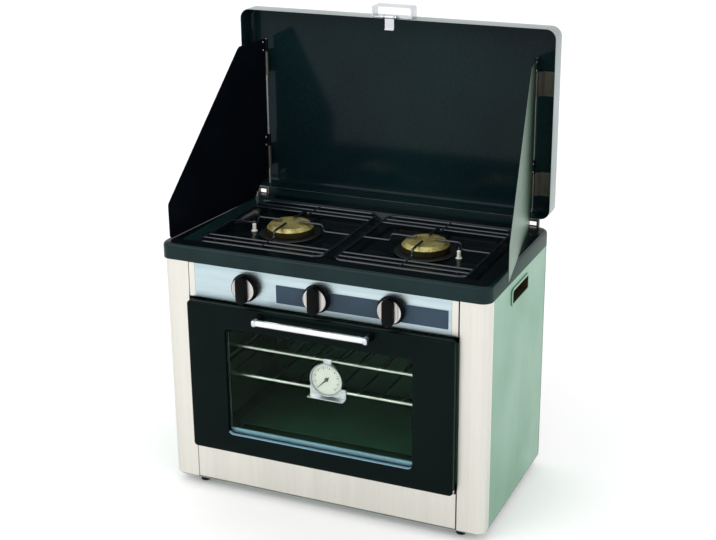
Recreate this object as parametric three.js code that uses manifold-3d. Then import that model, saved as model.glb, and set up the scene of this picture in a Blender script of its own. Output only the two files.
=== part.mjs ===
// Portable two burner camping stove with an oven below, lid and windscreens open.
// Millimetres, +Z up. x runs to the right, y to the back, z = 0 inside the stove
// group is the cabinet's lower edge and y = 0 there is the cabinet's front face.

import * as THREE from 'three';
import { mergeVertices } from 'three/addons/utils/BufferGeometryUtils.js';
import Module from 'manifold-3d';

const wasm = await Module();
wasm.setup();

// Sheet metal and clearances
const SHEET = 1;
const BEND = 1.5;
const FLANGE = 12;
const GAP = 0.3;
const PLAY = 0.6;
const OVERRUN = 2;
const SAME_POINT = 0.0005;

// Cabinet
const CABINET_WIDTH = 520;
const CABINET_DEPTH = 280;
const CABINET_HEIGHT = 366;
const POST_FACE = 43;
const POST_RADIUS = 16;
const POST_SIDE = 24;
const POST_RETURN = 14;
const KICK_HEIGHT = 61;
const PANEL_HEIGHT = 57;
const PANEL_SIDE_GAP = 0.4;

// Feet
const FOOT_HEIGHT = 15;
const FOOT_COLLAR = 6;
const FOOT_COLLAR_RADIUS = 10;
const FOOT_STEM_RADIUS = 6;
const FOOT_PAD_RADIUS = 7.5;
const FOOT_PAD = 3;
const FOOT_SIDE = 42;
const FOOT_END = 22;

// Vents in the back and the base
const VENT_LENGTH = 34;
const VENT_HEIGHT = 6;
const VENT_PITCH = 48;
const VENT_ROW_PITCH = 14;
const VENT_DROP = 22;
const BASE_VENT_LENGTH = 120;
const BASE_VENT_WIDTH = 12;
const BASE_VENT_ROW_SHARES = [0.25, 0.75];

// Finger grips in the two sides
const GRIP_FRONT = 106;
const GRIP_LENGTH = 78;
const GRIP_DROP = 17;
const GRIP_HEIGHT = 23;
const GRIP_DEPTH = 16;
const GRIP_WALL = 1.5;
const GRIP_BEZEL = 3.5;
const GRIP_BEZEL_THICKNESS = 1.6;
const GRIP_RADIUS = 5;

// Control panel and gas taps
const KNOB_PITCH = 117;
const KNOB_DROP = 27;
const KNOB_RADIUS = 22.5;
const KNOB_FACE_RADIUS = 19;
const KNOB_SKIRT = 5;
const KNOB_RIM_SHARE = 0.6;
const KNOB_FACE = 11;
const KNOB_STAND_OFF = 4.5;
const GRIP_BAR_WIDTH = 16;
const GRIP_BAR_PROUD = 8.5;
const GRIP_BAR_HEIGHT = 21;
const KNOB_PUSH = 3;
const STEM_RADIUS = 3;
const STEM_IN_KNOB = 12;
const STEM_HOLE_RADIUS = 5;
const LABEL_FROM_KNOB = 48;
const LABEL_END_GAP = 16;
const LABEL_DROP = 18;
const LABEL_HEIGHT = 28;
const LABEL_THICKNESS = 0.8;
const VALVE_FRONT = 20;
const VALVE_WIDTH = 20;
const VALVE_HEIGHT = 22;
const VALVE_BORE = 12;
const MANIFOLD_RADIUS = 5;
const MANIFOLD_SET_BACK = 53;
const MANIFOLD_INSET = 34;
const MANIFOLD_BEND = 16;
const INLET_NUT_RADIUS = 11;
const INLET_NUT = 9;
const INLET_NIPPLE_RADIUS = 5.5;
const INLET_NIPPLE = 15;
const FEED_RADIUS = 3;
const FEED_DROP = 49;
const FEED_BEND = 10;
const OVEN_FEED_DROP = 59;
const OVEN_FEED_OUT = 9;

// Oven
const OVEN_SIDE_GAP = 17;
const OVEN_FRONT = 3;
const OVEN_BACK_GAP = 30;
const OVEN_FLOOR_RISE = 13;
const OVEN_CEILING_DROP = 13;
const OVEN_FLANGE = 4;
const OVEN_SLOT_SIDE = 50;
const OVEN_SLOT_WIDTH = 12;
const OVEN_SLOT_INSET = 30;
const BAFFLE_LIFT = 12;
const BAFFLE_SIDE = 35;
const BAFFLE_FRONT_INSET = 41;
const BAFFLE_BACK_INSET = 36;
const OVEN_BURNER_RADIUS = 8;
const OVEN_BURNER_LEVEL = 38;
const OVEN_BURNER_SIDE = 50;
const OVEN_BURNER_LEG = 12;
const OVEN_BURNER_LEG_SHARE = 0.667;
const RACK_LEVEL_SHARES = [0.491, 0.7072];
const RACK_WIRE = 2.5;
const RACK_BAR = 1.5;
const RACK_SIDE_GAP = 5.5;
const RACK_FRONT_INSET = 17;
const RACK_BACK_GAP = 12;
const RACK_CORNER = 12;
const RACK_BARS = 10;
const LEDGE_WIDTH = 14;
const LEDGE_THICKNESS = 2;

// Thermometer hung on the upper rack
const THERMO_X = 5;
const THERMO_RADIUS = 26.5;
const THERMO_DEPTH = 9;
const THERMO_DROP = 28;
const THERMO_WALL = 1.5;
const THERMO_RECESS = 5;
const THERMO_HOOK_WIDTH = 13;
const THERMO_HOOK_DROP = 8;
const THERMO_FOOT_HALF = 29.5;
const THERMO_FOOT_DEPTH = 13;
const THERMO_FOOT_LEVEL = 57;
const DIAL_THICKNESS = 1;
const NEEDLE_LENGTH = 18;
const NEEDLE_WIDTH = 2.4;
const NEEDLE_THICKNESS = 0.8;
const NEEDLE_HUB_RADIUS = 3;
const NEEDLE_PIN_RADIUS = 1;
const NEEDLE_REST_ANGLE = THREE.MathUtils.degToRad(225);

// Oven door
const DOOR_GAP = 1.5;
const DOOR_DEPTH = 14;
const DOOR_CORNER = 5;
const DOOR_FACE = 1.5;
const DOOR_WALL = 1.2;
const WINDOW_SIDE_FRAME = 63.5;
const WINDOW_LOWER_FRAME = 32.5;
const WINDOW_UPPER_FRAME = 37.5;
const WINDOW_CORNER = 8;
const WINDOW_LIP = 5;
const GLASS_THICKNESS = 4;
const GLASS_MARGIN = 9;
const DOOR_AXIS_SET_FORWARD = 8;
const DOOR_AXIS_RISE = 6;
const DOOR_PIN_RADIUS = 2.5;
const LUG_INSET = 9.5;
const LUG_THICKNESS = 3;
const LUG_RADIUS = 4.2;
const LUG_BACK = 8;
const LUG_NECK = 5;
const NOTCH_RADIUS = 6;
const HANDLE_HALF = 84;
const HANDLE_RADIUS = 5.5;
const HANDLE_DROP = 10;
const HANDLE_STAND_OFF = 20;
const HANDLE_END = 10;
const HANDLE_END_RADIUS = 7.5;
const HANDLE_SEAT = 6;

// Hob tray
const TRAY_SIDE_OVERHANG = 3;
const TRAY_END_OVERHANG = 4;
const TRAY_RISE = 25;
const TRAY_CORNER = 16;
const TRAY_ROUND = 6;
const ROUND_MIDDLE_SHARE = 0.29;
const TRAY_RIM = 26;
const TRAY_WELL = 12;
const TRAY_SLOPE = 8;

// Burners
const BURNER_HOLE_RADIUS = 41;
const BOWL_RADIUS = 36;
const BOWL_FLANGE_RADIUS = 48;
const BOWL_THICKNESS = 1.6;
const BOWL_DEPTH = 17;
const BOWL_STEM_RADIUS = 9;
const BOWL_STEM = 14;
const CAP_RADIUS = 36.5;
const CAP_TOP_RADIUS = 31;
const CAP_HEIGHT = 15;
const CAP_EDGE = 5;
const CAP_SKIRT = 7;
const CAP_WALL = 4;
const PORT_COUNT = 16;
const PORT_WIDTH = 3;
const PORT_HEIGHT = 4;
const PORT_DEPTH = 5;
const ELECTRODE_RADIUS = 3;
const ELECTRODE_OUT = 57;
const ELECTRODE_FORWARD = 12;
const ELECTRODE_RISE = 13;
const ELECTRODE_DROP = 10;
const ELECTRODE_TIP = 4;
const ELECTRODE_TIP_RADIUS = 1.2;
const ELECTRODE_COLLAR = 5;

// Pot supports
const GRATE_SIDE_GAP = 13;
const GRATE_MIDDLE_GAP = 20;
const GRATE_WIRE = 2.5;
const GRATE_BAR = 2;
const GRATE_CORNER = 14;
const GRATE_LIFT = 7;
const GRATE_RISE = 10.8;
const GRATE_RISER = 56;
const GRATE_TIP = 15;
const GRATE_FINGER_BEND = 5;
const GRATE_OUTER_BAR_INSET = 18;
const GRATE_INNER_BAR_INSET = 34;
const GRATE_FOOT_INSET = 20;

// Lid
const LID_LENGTH = 295;
const LID_DEPTH = 36;
const LID_CORNER = 16;
const LID_ROUND = 7;
const LID_AXIS_BEHIND = 3.3;
const LID_AXIS_RISE = 9;
const LID_LIP_AHEAD = 8;
const HINGE_INSET = 28;
const HINGE_PIN_RADIUS = 1.5;
const HINGE_BARREL_RADIUS = 3;
const HINGE_KNUCKLE = 12;
const HINGE_EAR = 3.5;
const HINGE_PLATE_DROP = 18;
const HINGE_PLATE = 1.5;
const UPSTAND_LAP = 18;
const UPSTAND_CLEARANCE = 0.4;

// Windscreens
const SCREEN_INSET = 36;
const SCREEN_LENGTH = 285;
const SCREEN_TOP_CLEARANCE = 8;
const SCREEN_FRONT_HEIGHT = 54.3;
const SCREEN_TOP_LENGTH = 80;
const SCREEN_CLEARANCE = 0.7;
const SCREEN_NOTCH_NEAR = 34;
const SCREEN_NOTCH_FAR = 70;
const SCREEN_NOTCH_RISE = 23;
const SCREEN_LIFT = 40;
const SCREEN_STAGGER = 8;
const SCREEN_PANEL_GAP = 9;
const SCREEN_ROD_RADIUS = 2;
const SCREEN_KNUCKLE_RADIUS = 3.4;
const SCREEN_KNUCKLE = 20;
const SPLAY_ANGLE = {
  left: THREE.MathUtils.degToRad(5.5),
  right: THREE.MathUtils.degToRad(10.5),
};
const LEAF_HEIGHT = 38;
const LEAF_LEVEL_SHARES = [0.1583, 0.6956];
const LEAF_OUT = 11;
const LEAF_WIDTH = 22;
const LEAF_THICKNESS = 1.2;

// Latch on the lid
const LATCH_HALF_WIDTH = 33;
const LATCH_HEIGHT = 18;
const LATCH_DEPTH = 22;
const LATCH_SET_BACK = 2;
const LATCH_SHEET = 1.6;
const LATCH_EAR_X = 9.5;
const LATCH_EAR = 2;
const LATCH_PIN_RADIUS = 1.3;
const LATCH_BARREL_RADIUS = 2.8;
const LATCH_REACH = 6;
const TONGUE_WIDTH = 15;
const TONGUE_LENGTH = 19;
const TONGUE_THICKNESS = 1.6;
const TONGUE_LIP = 3;

// Facets on round stretches
const ARC_STEPS = 2;
const CORNER_STEPS = 4;
const ROD_SIDES = 12;
const WIRE_SIDES = 6;
const PIPE_SIDES = 8;
const ROUND_SIDES = 24;

const SIDES = [
  { name: 'left', sign: -1 },
  { name: 'right', sign: 1 },
];

// Places that several pieces share
const HALF_WIDTH = CABINET_WIDTH / 2;
const POST_INNER = HALF_WIDTH - POST_FACE;
const BASE_TOP = SHEET + GAP;
const PANEL_BOTTOM = CABINET_HEIGHT - PANEL_HEIGHT;
const KNOB_LEVEL = CABINET_HEIGHT - KNOB_DROP;
const LABEL_LEFT = LABEL_FROM_KNOB - KNOB_PITCH;
const LABEL_RIGHT = POST_INNER - LABEL_END_GAP;
const LABEL_TOP = CABINET_HEIGHT - LABEL_DROP;
const GRIP_TOP = CABINET_HEIGHT - GRIP_DROP;
const MANIFOLD_SIDE = HALF_WIDTH - MANIFOLD_INSET;

const OVEN_HALF_WIDTH = POST_INNER - OVEN_SIDE_GAP;
const OVEN_BACK = CABINET_DEPTH - OVEN_BACK_GAP;
const OVEN_FLOOR = KICK_HEIGHT + OVEN_FLOOR_RISE;
const OVEN_CEILING = PANEL_BOTTOM - OVEN_CEILING_DROP;
const BAFFLE_HALF_WIDTH = OVEN_HALF_WIDTH - BAFFLE_SIDE;
const OVEN_BURNER_HALF = OVEN_HALF_WIDTH - OVEN_BURNER_SIDE;
const OVEN_FEED_SIDE = OVEN_HALF_WIDTH + OVEN_FEED_OUT;
const RACK_LEVELS = RACK_LEVEL_SHARES.map((share) => OVEN_FLOOR + share * (OVEN_CEILING - OVEN_FLOOR));
const RACK_HALF_WIDTH = OVEN_HALF_WIDTH - RACK_SIDE_GAP;
const RACK_FRONT = OVEN_FRONT + RACK_FRONT_INSET;
const RACK_BACK = OVEN_BACK - RACK_BACK_GAP;

const DOOR_HALF_WIDTH = POST_INNER - DOOR_GAP;
const DOOR_BOTTOM = KICK_HEIGHT + DOOR_GAP;
const DOOR_TOP = PANEL_BOTTOM - DOOR_GAP;
const DOOR_FRONT = -DOOR_DEPTH;
const WINDOW_HALF_WIDTH = DOOR_HALF_WIDTH - WINDOW_SIDE_FRAME;
const WINDOW_BOTTOM = DOOR_BOTTOM + WINDOW_LOWER_FRAME;
const WINDOW_TOP = DOOR_TOP - WINDOW_UPPER_FRAME;
const LUG_X = DOOR_HALF_WIDTH - LUG_INSET;
const HANDLE_LEVEL = DOOR_TOP - HANDLE_DROP;

const TRAY_HALF_WIDTH = HALF_WIDTH + TRAY_SIDE_OVERHANG;
const TRAY_FRONT = -TRAY_END_OVERHANG;
const TRAY_BACK = CABINET_DEPTH + TRAY_END_OVERHANG;
const TRAY_TOP = CABINET_HEIGHT + TRAY_RISE;
const TRAY_FLOOR = TRAY_TOP - TRAY_WELL;
const TRAY_BOTTOM = CABINET_HEIGHT + GAP;
const WELL_INSET = TRAY_RIM + TRAY_SLOPE;
const GRATE_HALF_WIDTH = (TRAY_HALF_WIDTH - WELL_INSET - GRATE_SIDE_GAP - GRATE_MIDDLE_GAP / 2) / 2;
const GRATE_FRONT = TRAY_FRONT + WELL_INSET;
const GRATE_BACK = TRAY_BACK - WELL_INSET;
const BURNER_X = GRATE_HALF_WIDTH + GRATE_MIDDLE_GAP / 2;
const BURNER_Y = (TRAY_FRONT + TRAY_BACK) / 2;

const DOOR_AXIS = new THREE.Vector3(0, -DOOR_AXIS_SET_FORWARD, DOOR_BOTTOM + DOOR_AXIS_RISE);
const LID_AXIS = new THREE.Vector3(0, TRAY_BACK + LID_AXIS_BEHIND, TRAY_TOP + LID_AXIS_RISE);
const LID_LIP = LID_AXIS.y - LID_LIP_AHEAD;
const LID_PANEL = LID_LIP + LID_DEPTH;
const LID_BOTTOM = LID_AXIS.z + LID_AXIS_BEHIND;
const LID_TOP = LID_BOTTOM + LID_LENGTH;
const LID_HALF_WIDTH = TRAY_HALF_WIDTH;
const HINGE_X = LID_HALF_WIDTH - HINGE_INSET;
const SCREEN_X = LID_HALF_WIDTH - SCREEN_INSET;
const SCREEN_BOTTOM = TRAY_TOP + SCREEN_CLEARANCE;
const SCREEN_FRONT_TOP = SCREEN_BOTTOM + SCREEN_FRONT_HEIGHT;
const SCREEN_TOP = LID_TOP - SHEET - SCREEN_LIFT - SCREEN_TOP_CLEARANCE;
const LEAF_LEVELS = LEAF_LEVEL_SHARES.map((share) => LID_BOTTOM + share * LID_LENGTH);

const KNOB_BACK = -LABEL_THICKNESS - GAP - KNOB_STAND_OFF;
const GRIP_BAR_FRONT = KNOB_SKIRT + KNOB_FACE / 2 + GRIP_BAR_PROUD;

const FINISH = {
  body_steel: finish(0x91af9b, 0.35, 0.9),
  front_steel: finish(0xdcd8cd, 0.35, 0.9),
  panel_steel: finish(0xd5e4e6, 0.3, 0.9),
  label: finish(0x505a73, 0.4, 0.3),
  enamel: finish(0x1e3737, 0.25, 0.1),
  screen: finish(0x20282a, 0.25, 0.2),
  aluminised: finish(0x8f9493, 0.45, 0.9),
  door_black: finish(0x0b0d0e, 0.2, 0.1),
  glass: finish(0x14382c, 0.08, 0),
  chrome: finish(0xd0d4d8, 0.12, 1),
  black_plastic: finish(0x151617, 0.4, 0),
  grip_plastic: finish(0x3a3320, 0.5, 0),
  rubber: finish(0x2a2a2a, 0.8, 0),
  brass: finish(0xc9bd7a, 0.3, 1),
  burner_metal: finish(0x5a5c55, 0.5, 0.8),
  ceramic: finish(0xe8e6df, 0.4, 0),
  wire_black: finish(0x181a1b, 0.45, 0.3),
  dial: finish(0xeef0ec, 0.5, 0),
  needle: finish(0x1a1a1a, 0.5, 0),
};

function finish(colour, roughness, metalness) {
  return new THREE.MeshStandardMaterial({ color: colour, roughness, metalness });
}

// Solids and their joins and cuts

function toSolid(geometry) {
  const bare = geometry.index ? geometry.toNonIndexed() : geometry.clone();
  for (const name of Object.keys(bare.attributes)) {
    if (name !== 'position') bare.deleteAttribute(name);
  }
  const merged = mergeVertices(bare, SAME_POINT);
  return new wasm.Manifold(new wasm.Mesh({
    numProp: 3,
    vertProperties: new Float32Array(merged.attributes.position.array),
    triVerts: new Uint32Array(merged.index.array),
  }));
}

function toGeometry(solid) {
  const mesh = solid.getMesh();
  const geometry = new THREE.BufferGeometry();
  geometry.setAttribute('position', new THREE.BufferAttribute(mesh.vertProperties, 3));
  geometry.setIndex(new THREE.BufferAttribute(mesh.triVerts, 1));
  return geometry;
}

function join(...geometries) {
  return toGeometry(geometries.map(toSolid).reduce((whole, next) => whole.add(next)));
}

function cut(base, ...tools) {
  return toGeometry(tools.map(toSolid).reduce((left, tool) => left.subtract(tool), toSolid(base)));
}

// A box between two corners
function block(x0, x1, y0, y1, z0, z1) {
  const geometry = new THREE.BoxGeometry(x1 - x0, y1 - y0, z1 - z0);
  return geometry.translate((x0 + x1) / 2, (y0 + y1) / 2, (z0 + z1) / 2);
}

// A round bar between two points
function roundBar(radius, from, to, sides = ROD_SIDES) {
  const along = new THREE.Vector3().subVectors(to, from);
  const geometry = new THREE.CylinderGeometry(radius, radius, along.length(), sides);
  const turn = new THREE.Quaternion().setFromUnitVectors(
    new THREE.Vector3(0, 1, 0), along.clone().normalize());
  geometry.applyQuaternion(turn);
  const middle = new THREE.Vector3().addVectors(from, to).multiplyScalar(0.5);
  return geometry.translate(middle.x, middle.y, middle.z);
}

function barX(radius, x0, x1, y, z, sides) {
  return roundBar(radius, new THREE.Vector3(x0, y, z), new THREE.Vector3(x1, y, z), sides);
}

function barY(radius, y0, y1, x, z, sides) {
  return roundBar(radius, new THREE.Vector3(x, y0, z), new THREE.Vector3(x, y1, z), sides);
}

function barZ(radius, z0, z1, x, y, sides) {
  return roundBar(radius, new THREE.Vector3(x, y, z0), new THREE.Vector3(x, y, z1), sides);
}

// A body turned about the z axis from points of radius and height
function turned(points, sides = ROUND_SIDES) {
  const profile = points.map(([radius, height]) => new THREE.Vector2(radius, height));
  return new THREE.LatheGeometry(profile, sides);
}

// A lathe body stands along +Y; this lays its axis along +Z
function upright(geometry) {
  return geometry.rotateX(Math.PI / 2);
}

// Outlines

function rectangle(x0, x1, y0, y1, radius = 0) {
  const shape = new THREE.Shape();
  traceRectangle(shape, x0, x1, y0, y1, radius);
  return shape;
}

function traceRectangle(path, x0, x1, y0, y1, radius) {
  const r = Math.min(radius, (x1 - x0) / 2, (y1 - y0) / 2);
  if (r <= 0) {
    path.setFromPoints([[x0, y0], [x1, y0], [x1, y1], [x0, y1]].map(([x, y]) => new THREE.Vector2(x, y)));
    return;
  }
  path.moveTo(x0 + r, y0);
  path.lineTo(x1 - r, y0);
  path.absarc(x1 - r, y0 + r, r, -Math.PI / 2, 0);
  path.lineTo(x1, y1 - r);
  path.absarc(x1 - r, y1 - r, r, 0, Math.PI / 2);
  path.lineTo(x0 + r, y1);
  path.absarc(x0 + r, y1 - r, r, Math.PI / 2, Math.PI);
  path.lineTo(x0, y0 + r);
  path.absarc(x0 + r, y0 + r, r, Math.PI, 1.5 * Math.PI);
}

function withHole(shape, x0, x1, y0, y1, radius = 0) {
  const hole = new THREE.Path();
  traceRectangle(hole, x0, x1, y0, y1, radius);
  shape.holes.push(hole);
  return shape;
}

function polygon(points) {
  return new THREE.Shape(points.map(([x, y]) => new THREE.Vector2(x, y)));
}

// The knots of a line with its corners rounded to a bend radius
function roundedKnots(points, bend, steps = ARC_STEPS) {
  const knots = [points[0]];
  for (let i = 1; i < points.length - 1; i += 1) {
    const back = points[i - 1].clone().sub(points[i]);
    const ahead = points[i + 1].clone().sub(points[i]);
    const half = back.angleTo(ahead) / 2;
    const reach = Math.min(bend / Math.tan(half), back.length() / 2, ahead.length() / 2);
    const start = points[i].clone().addScaledVector(back.normalize(), reach);
    const end = points[i].clone().addScaledVector(ahead.normalize(), reach);
    const radius = reach * Math.tan(half);
    const inward = back.clone().add(ahead).normalize();
    const centre = points[i].clone().addScaledVector(inward, radius / Math.sin(half));
    const from = start.clone().sub(centre);
    const to = end.clone().sub(centre);
    const turn = from.angleTo(to);
    for (let k = 0; k <= steps; k += 1) {
      const share = k / steps;
      const a = Math.sin((1 - share) * turn) / Math.sin(turn);
      const b = Math.sin(share * turn) / Math.sin(turn);
      knots.push(centre.clone().addScaledVector(from, a).addScaledVector(to, b));
    }
  }
  knots.push(points[points.length - 1]);
  return knots;
}

// The outline of a sheet folded along a middle line given as points [u, v]
function folded(points, thickness = SHEET, bends = BEND) {
  const corners = points.map(([u, v]) => new THREE.Vector3(u, v, 0));
  let knots = [corners[0]];
  for (let i = 1; i < corners.length - 1; i += 1) {
    const bend = Array.isArray(bends) ? bends[i - 1] : bends;
    const piece = roundedKnots([corners[i - 1], corners[i], corners[i + 1]], bend);
    knots = knots.concat(piece.slice(1, -1));
  }
  knots.push(corners[corners.length - 1]);
  const left = [];
  const right = [];
  knots.forEach((knot, i) => {
    const before = knots[Math.max(i - 1, 0)];
    const after = knots[Math.min(i + 1, knots.length - 1)];
    const into = knot.clone().sub(before).normalize();
    const out = after.clone().sub(knot).normalize();
    const along = into.clone().add(out).normalize();
    const mitre = i > 0 && i < knots.length - 1 ? along.dot(out) : 1;
    const off = thickness / 2 / mitre;
    left.push([knot.x - along.y * off, knot.y + along.x * off]);
    right.push([knot.x + along.y * off, knot.y - along.x * off]);
  });
  return polygon(left.concat(right.reverse()));
}

// Extrusions of an outline along z, x and y

function alongZ(shape, z0, z1, steps = ARC_STEPS) {
  const settings = { depth: z1 - z0, bevelEnabled: false, curveSegments: steps };
  return new THREE.ExtrudeGeometry(shape, settings).translate(0, 0, z0);
}

// The outline's u and v become y and z
function alongX(shape, x0, x1, steps = ARC_STEPS) {
  const axes = new THREE.Matrix4().makeBasis(
    new THREE.Vector3(0, 1, 0), new THREE.Vector3(0, 0, 1), new THREE.Vector3(1, 0, 0));
  return alongZ(shape, x0, x1, steps).applyMatrix4(axes);
}

// The outline's u and v become x and z
function alongY(shape, y0, y1, steps = ARC_STEPS) {
  const axes = new THREE.Matrix4().makeBasis(
    new THREE.Vector3(1, 0, 0), new THREE.Vector3(0, 0, 1), new THREE.Vector3(0, -1, 0));
  return alongZ(shape, -y1, -y0, steps).applyMatrix4(axes);
}

// A path whose even steps are its own knots, so each bend keeps its shape
class KnotPath extends THREE.Curve {
  constructor(knots) {
    super();
    this.knots = knots;
  }

  getPointAt(share) {
    const last = this.knots.length - 1;
    const place = Math.min(share * last, last);
    const low = Math.min(Math.floor(place), last - 1);
    return this.knots[low].clone().lerp(this.knots[low + 1], place - low);
  }

  getTangentAt(share) {
    const last = this.knots.length - 1;
    const i = Math.round(share * last);
    const into = this.knots[Math.max(i, 1)].clone().sub(this.knots[Math.max(i, 1) - 1]).normalize();
    const j = Math.min(i, last - 1);
    const out = this.knots[j + 1].clone().sub(this.knots[j]).normalize();
    return into.add(out).normalize();
  }
}

// A bent wire or pipe through points, with rounded corners
function wire(points, radius, bend, sides = WIRE_SIDES) {
  const places = points.map(([x, y, z]) => new THREE.Vector3(x, y, z));
  const knots = roundedKnots(places, bend);
  const section = new THREE.Shape();
  for (let i = 0; i < sides; i += 1) {
    const angle = (i / sides) * 2 * Math.PI;
    const x = radius * Math.cos(angle);
    const y = radius * Math.sin(angle);
    if (i === 0) section.moveTo(x, y);
    else section.lineTo(x, y);
  }
  section.closePath();
  return new THREE.ExtrudeGeometry(section, {
    steps: knots.length - 1, extrudePath: new KnotPath(knots), curveSegments: 1,
  });
}

// A rectangular wire frame made of two U shaped halves that overlap where they are welded
function wireFrame(x0, x1, y0, y1, z, radius, corner) {
  const middle = (x0 + x1) / 2;
  const half = (x, overlap) => wire([
    [middle + overlap, y0, z], [x, y0, z], [x, y1, z], [middle + overlap, y1, z],
  ], radius, corner);
  return join(half(x0, radius), half(x1, -radius));
}

// A sheet pressed to a shallow pan. Its profile runs from the floor out to the edge as
// [inset from the outer edge, height], and the same profile set back by the sheet closes it.
function pressed(profile, halfX, halfY, corner, thickness = SHEET) {
  const back = profile.map(([inset, height], i) => {
    const [i0, h0] = profile[Math.max(i - 1, 0)];
    const [i1, h1] = profile[Math.min(i + 1, profile.length - 1)];
    const into = new THREE.Vector2(inset - i0, height - h0);
    const out = new THREE.Vector2(i1 - inset, h1 - height);
    if (i === 0) into.copy(out);
    if (i === profile.length - 1) out.copy(into);
    const along = into.normalize().add(out.normalize()).normalize();
    const off = thickness / along.dot(out);
    return [inset - along.y * off, height + along.x * off];
  });
  const rings = profile.concat(back.reverse());
  const count = 4 * (CORNER_STEPS + 1);
  const positions = [];
  const faces = [];
  for (const [inset, height] of rings) {
    const radius = Math.max(corner - inset, thickness);
    const cx = halfX - inset - radius;
    const cy = halfY - inset - radius;
    for (let quarter = 0; quarter < 4; quarter += 1) {
      const sx = quarter === 0 || quarter === 3 ? 1 : -1;
      const sy = quarter < 2 ? 1 : -1;
      for (let k = 0; k <= CORNER_STEPS; k += 1) {
        const angle = (quarter + k / CORNER_STEPS) * Math.PI / 2;
        positions.push(sx * cx + radius * Math.cos(angle), sy * cy + radius * Math.sin(angle), height);
      }
    }
  }
  const last = (rings.length - 1) * count;
  for (let i = 1; i < count - 1; i += 1) {
    faces.push(0, i, i + 1);
    faces.push(last, last + i + 1, last + i);
  }
  for (let ring = 0; ring < rings.length - 1; ring += 1) {
    for (let i = 0; i < count; i += 1) {
      const a = ring * count + i;
      const b = ring * count + (i + 1) % count;
      faces.push(a, b + count, b, a, a + count, b + count);
    }
  }
  const geometry = new THREE.BufferGeometry();
  geometry.setAttribute('position', new THREE.Float32BufferAttribute(positions, 3));
  geometry.setIndex(faces);
  return geometry;
}

// Bodies: each moving body is a group whose origin is its pivot. A piece is drawn in
// the stove's own frame and shifted back by its group's place.

function addBody(parent, place = new THREE.Vector3()) {
  const body = new THREE.Group();
  const parentPlace = parent.userData.place ?? new THREE.Vector3();
  body.userData.place = place.clone();
  body.position.copy(place).sub(parentPlace);
  parent.add(body);
  return body;
}

function addPiece(body, name, geometry, material) {
  const place = body.userData.place;
  const mesh = new THREE.Mesh(geometry.translate(-place.x, -place.y, -place.z), material);
  mesh.name = name;
  body.add(mesh);
  return mesh;
}

// Cabinet

function frontPost(sign) {
  const inner = POST_INNER + SHEET / 2;
  const outer = HALF_WIDTH - SHEET / 2;
  const line = [[inner, POST_RETURN], [inner, SHEET / 2], [outer, SHEET / 2], [outer, POST_SIDE]];
  const shape = folded(line.map(([x, y]) => [sign * x, y]), SHEET, [BEND, POST_RADIUS]);
  return alongZ(shape, BASE_TOP, CABINET_HEIGHT);
}

function sidePanel(sign) {
  const outer = HALF_WIDTH - SHEET / 2;
  const front = POST_SIDE + GAP + SHEET / 2;
  const back = CABINET_DEPTH - SHEET - GAP - SHEET / 2;
  const line = [[outer - FLANGE, front], [outer, front], [outer, back], [outer - FLANGE, back]];
  const sheet = alongZ(folded(line.map(([x, y]) => [sign * x, y])), BASE_TOP, CABINET_HEIGHT);
  const slot = alongX(gripOutline(0), HALF_WIDTH - SHEET - OVERRUN, HALF_WIDTH + OVERRUN);
  return cut(sheet, sign > 0 ? slot : mirrored(slot));
}

// The same solid on the other side of the stove's middle plane
function mirrored(geometry) {
  const copy = geometry.index ? geometry.toNonIndexed() : geometry.clone();
  copy.scale(-1, 1, 1);
  const position = copy.attributes.position;
  for (let i = 0; i < position.count; i += 3) {
    for (let axis = 0; axis < 3; axis += 1) {
      const kept = position.getComponent(i, axis);
      position.setComponent(i, axis, position.getComponent(i + 1, axis));
      position.setComponent(i + 1, axis, kept);
    }
  }
  copy.deleteAttribute('normal');
  copy.deleteAttribute('uv');
  return copy;
}

// The finger slot's outline in y and z, drawn in by an inset
function gripOutline(inset) {
  return rectangle(GRIP_FRONT + inset, GRIP_FRONT + GRIP_LENGTH - inset,
    GRIP_TOP - GRIP_HEIGHT + inset, GRIP_TOP - inset, GRIP_RADIUS - inset);
}

function gripCup() {
  const inner = HALF_WIDTH - GRIP_DEPTH;
  const face = HALF_WIDTH + GAP;
  const bezel = alongX(gripOutline(-GRIP_BEZEL), face, face + GRIP_BEZEL_THICKNESS);
  const cup = alongX(gripOutline(GAP), inner, face + SHEET / 2);
  const mouth = face + GRIP_BEZEL_THICKNESS + OVERRUN;
  const hollow = alongX(gripOutline(GAP + GRIP_WALL), inner + GRIP_WALL, mouth);
  return cut(join(bezel, cup), hollow);
}

function backPanel() {
  const sheet = block(
    -HALF_WIDTH, HALF_WIDTH, CABINET_DEPTH - SHEET, CABINET_DEPTH, BASE_TOP, CABINET_HEIGHT);
  const back = CABINET_DEPTH + OVERRUN;
  const front = CABINET_DEPTH - SHEET - OVERRUN;
  const slots = [];
  const count = 2 * Math.floor(OVEN_HALF_WIDTH / VENT_PITCH) - 1;
  for (let i = 0; i < count; i += 1) {
    const x = (i - (count - 1) / 2) * VENT_PITCH;
    for (let row = 0; row < 2; row += 1) {
      const z = CABINET_HEIGHT - VENT_DROP - row * VENT_ROW_PITCH;
      const half = VENT_LENGTH / 2;
      slots.push(block(x - half, x + half, front, back, z - VENT_HEIGHT, z));
    }
  }
  const inlet = barY(MANIFOLD_RADIUS + PLAY, front, back, MANIFOLD_SIDE, KNOB_LEVEL);
  return cut(sheet, inlet, ...slots);
}

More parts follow.
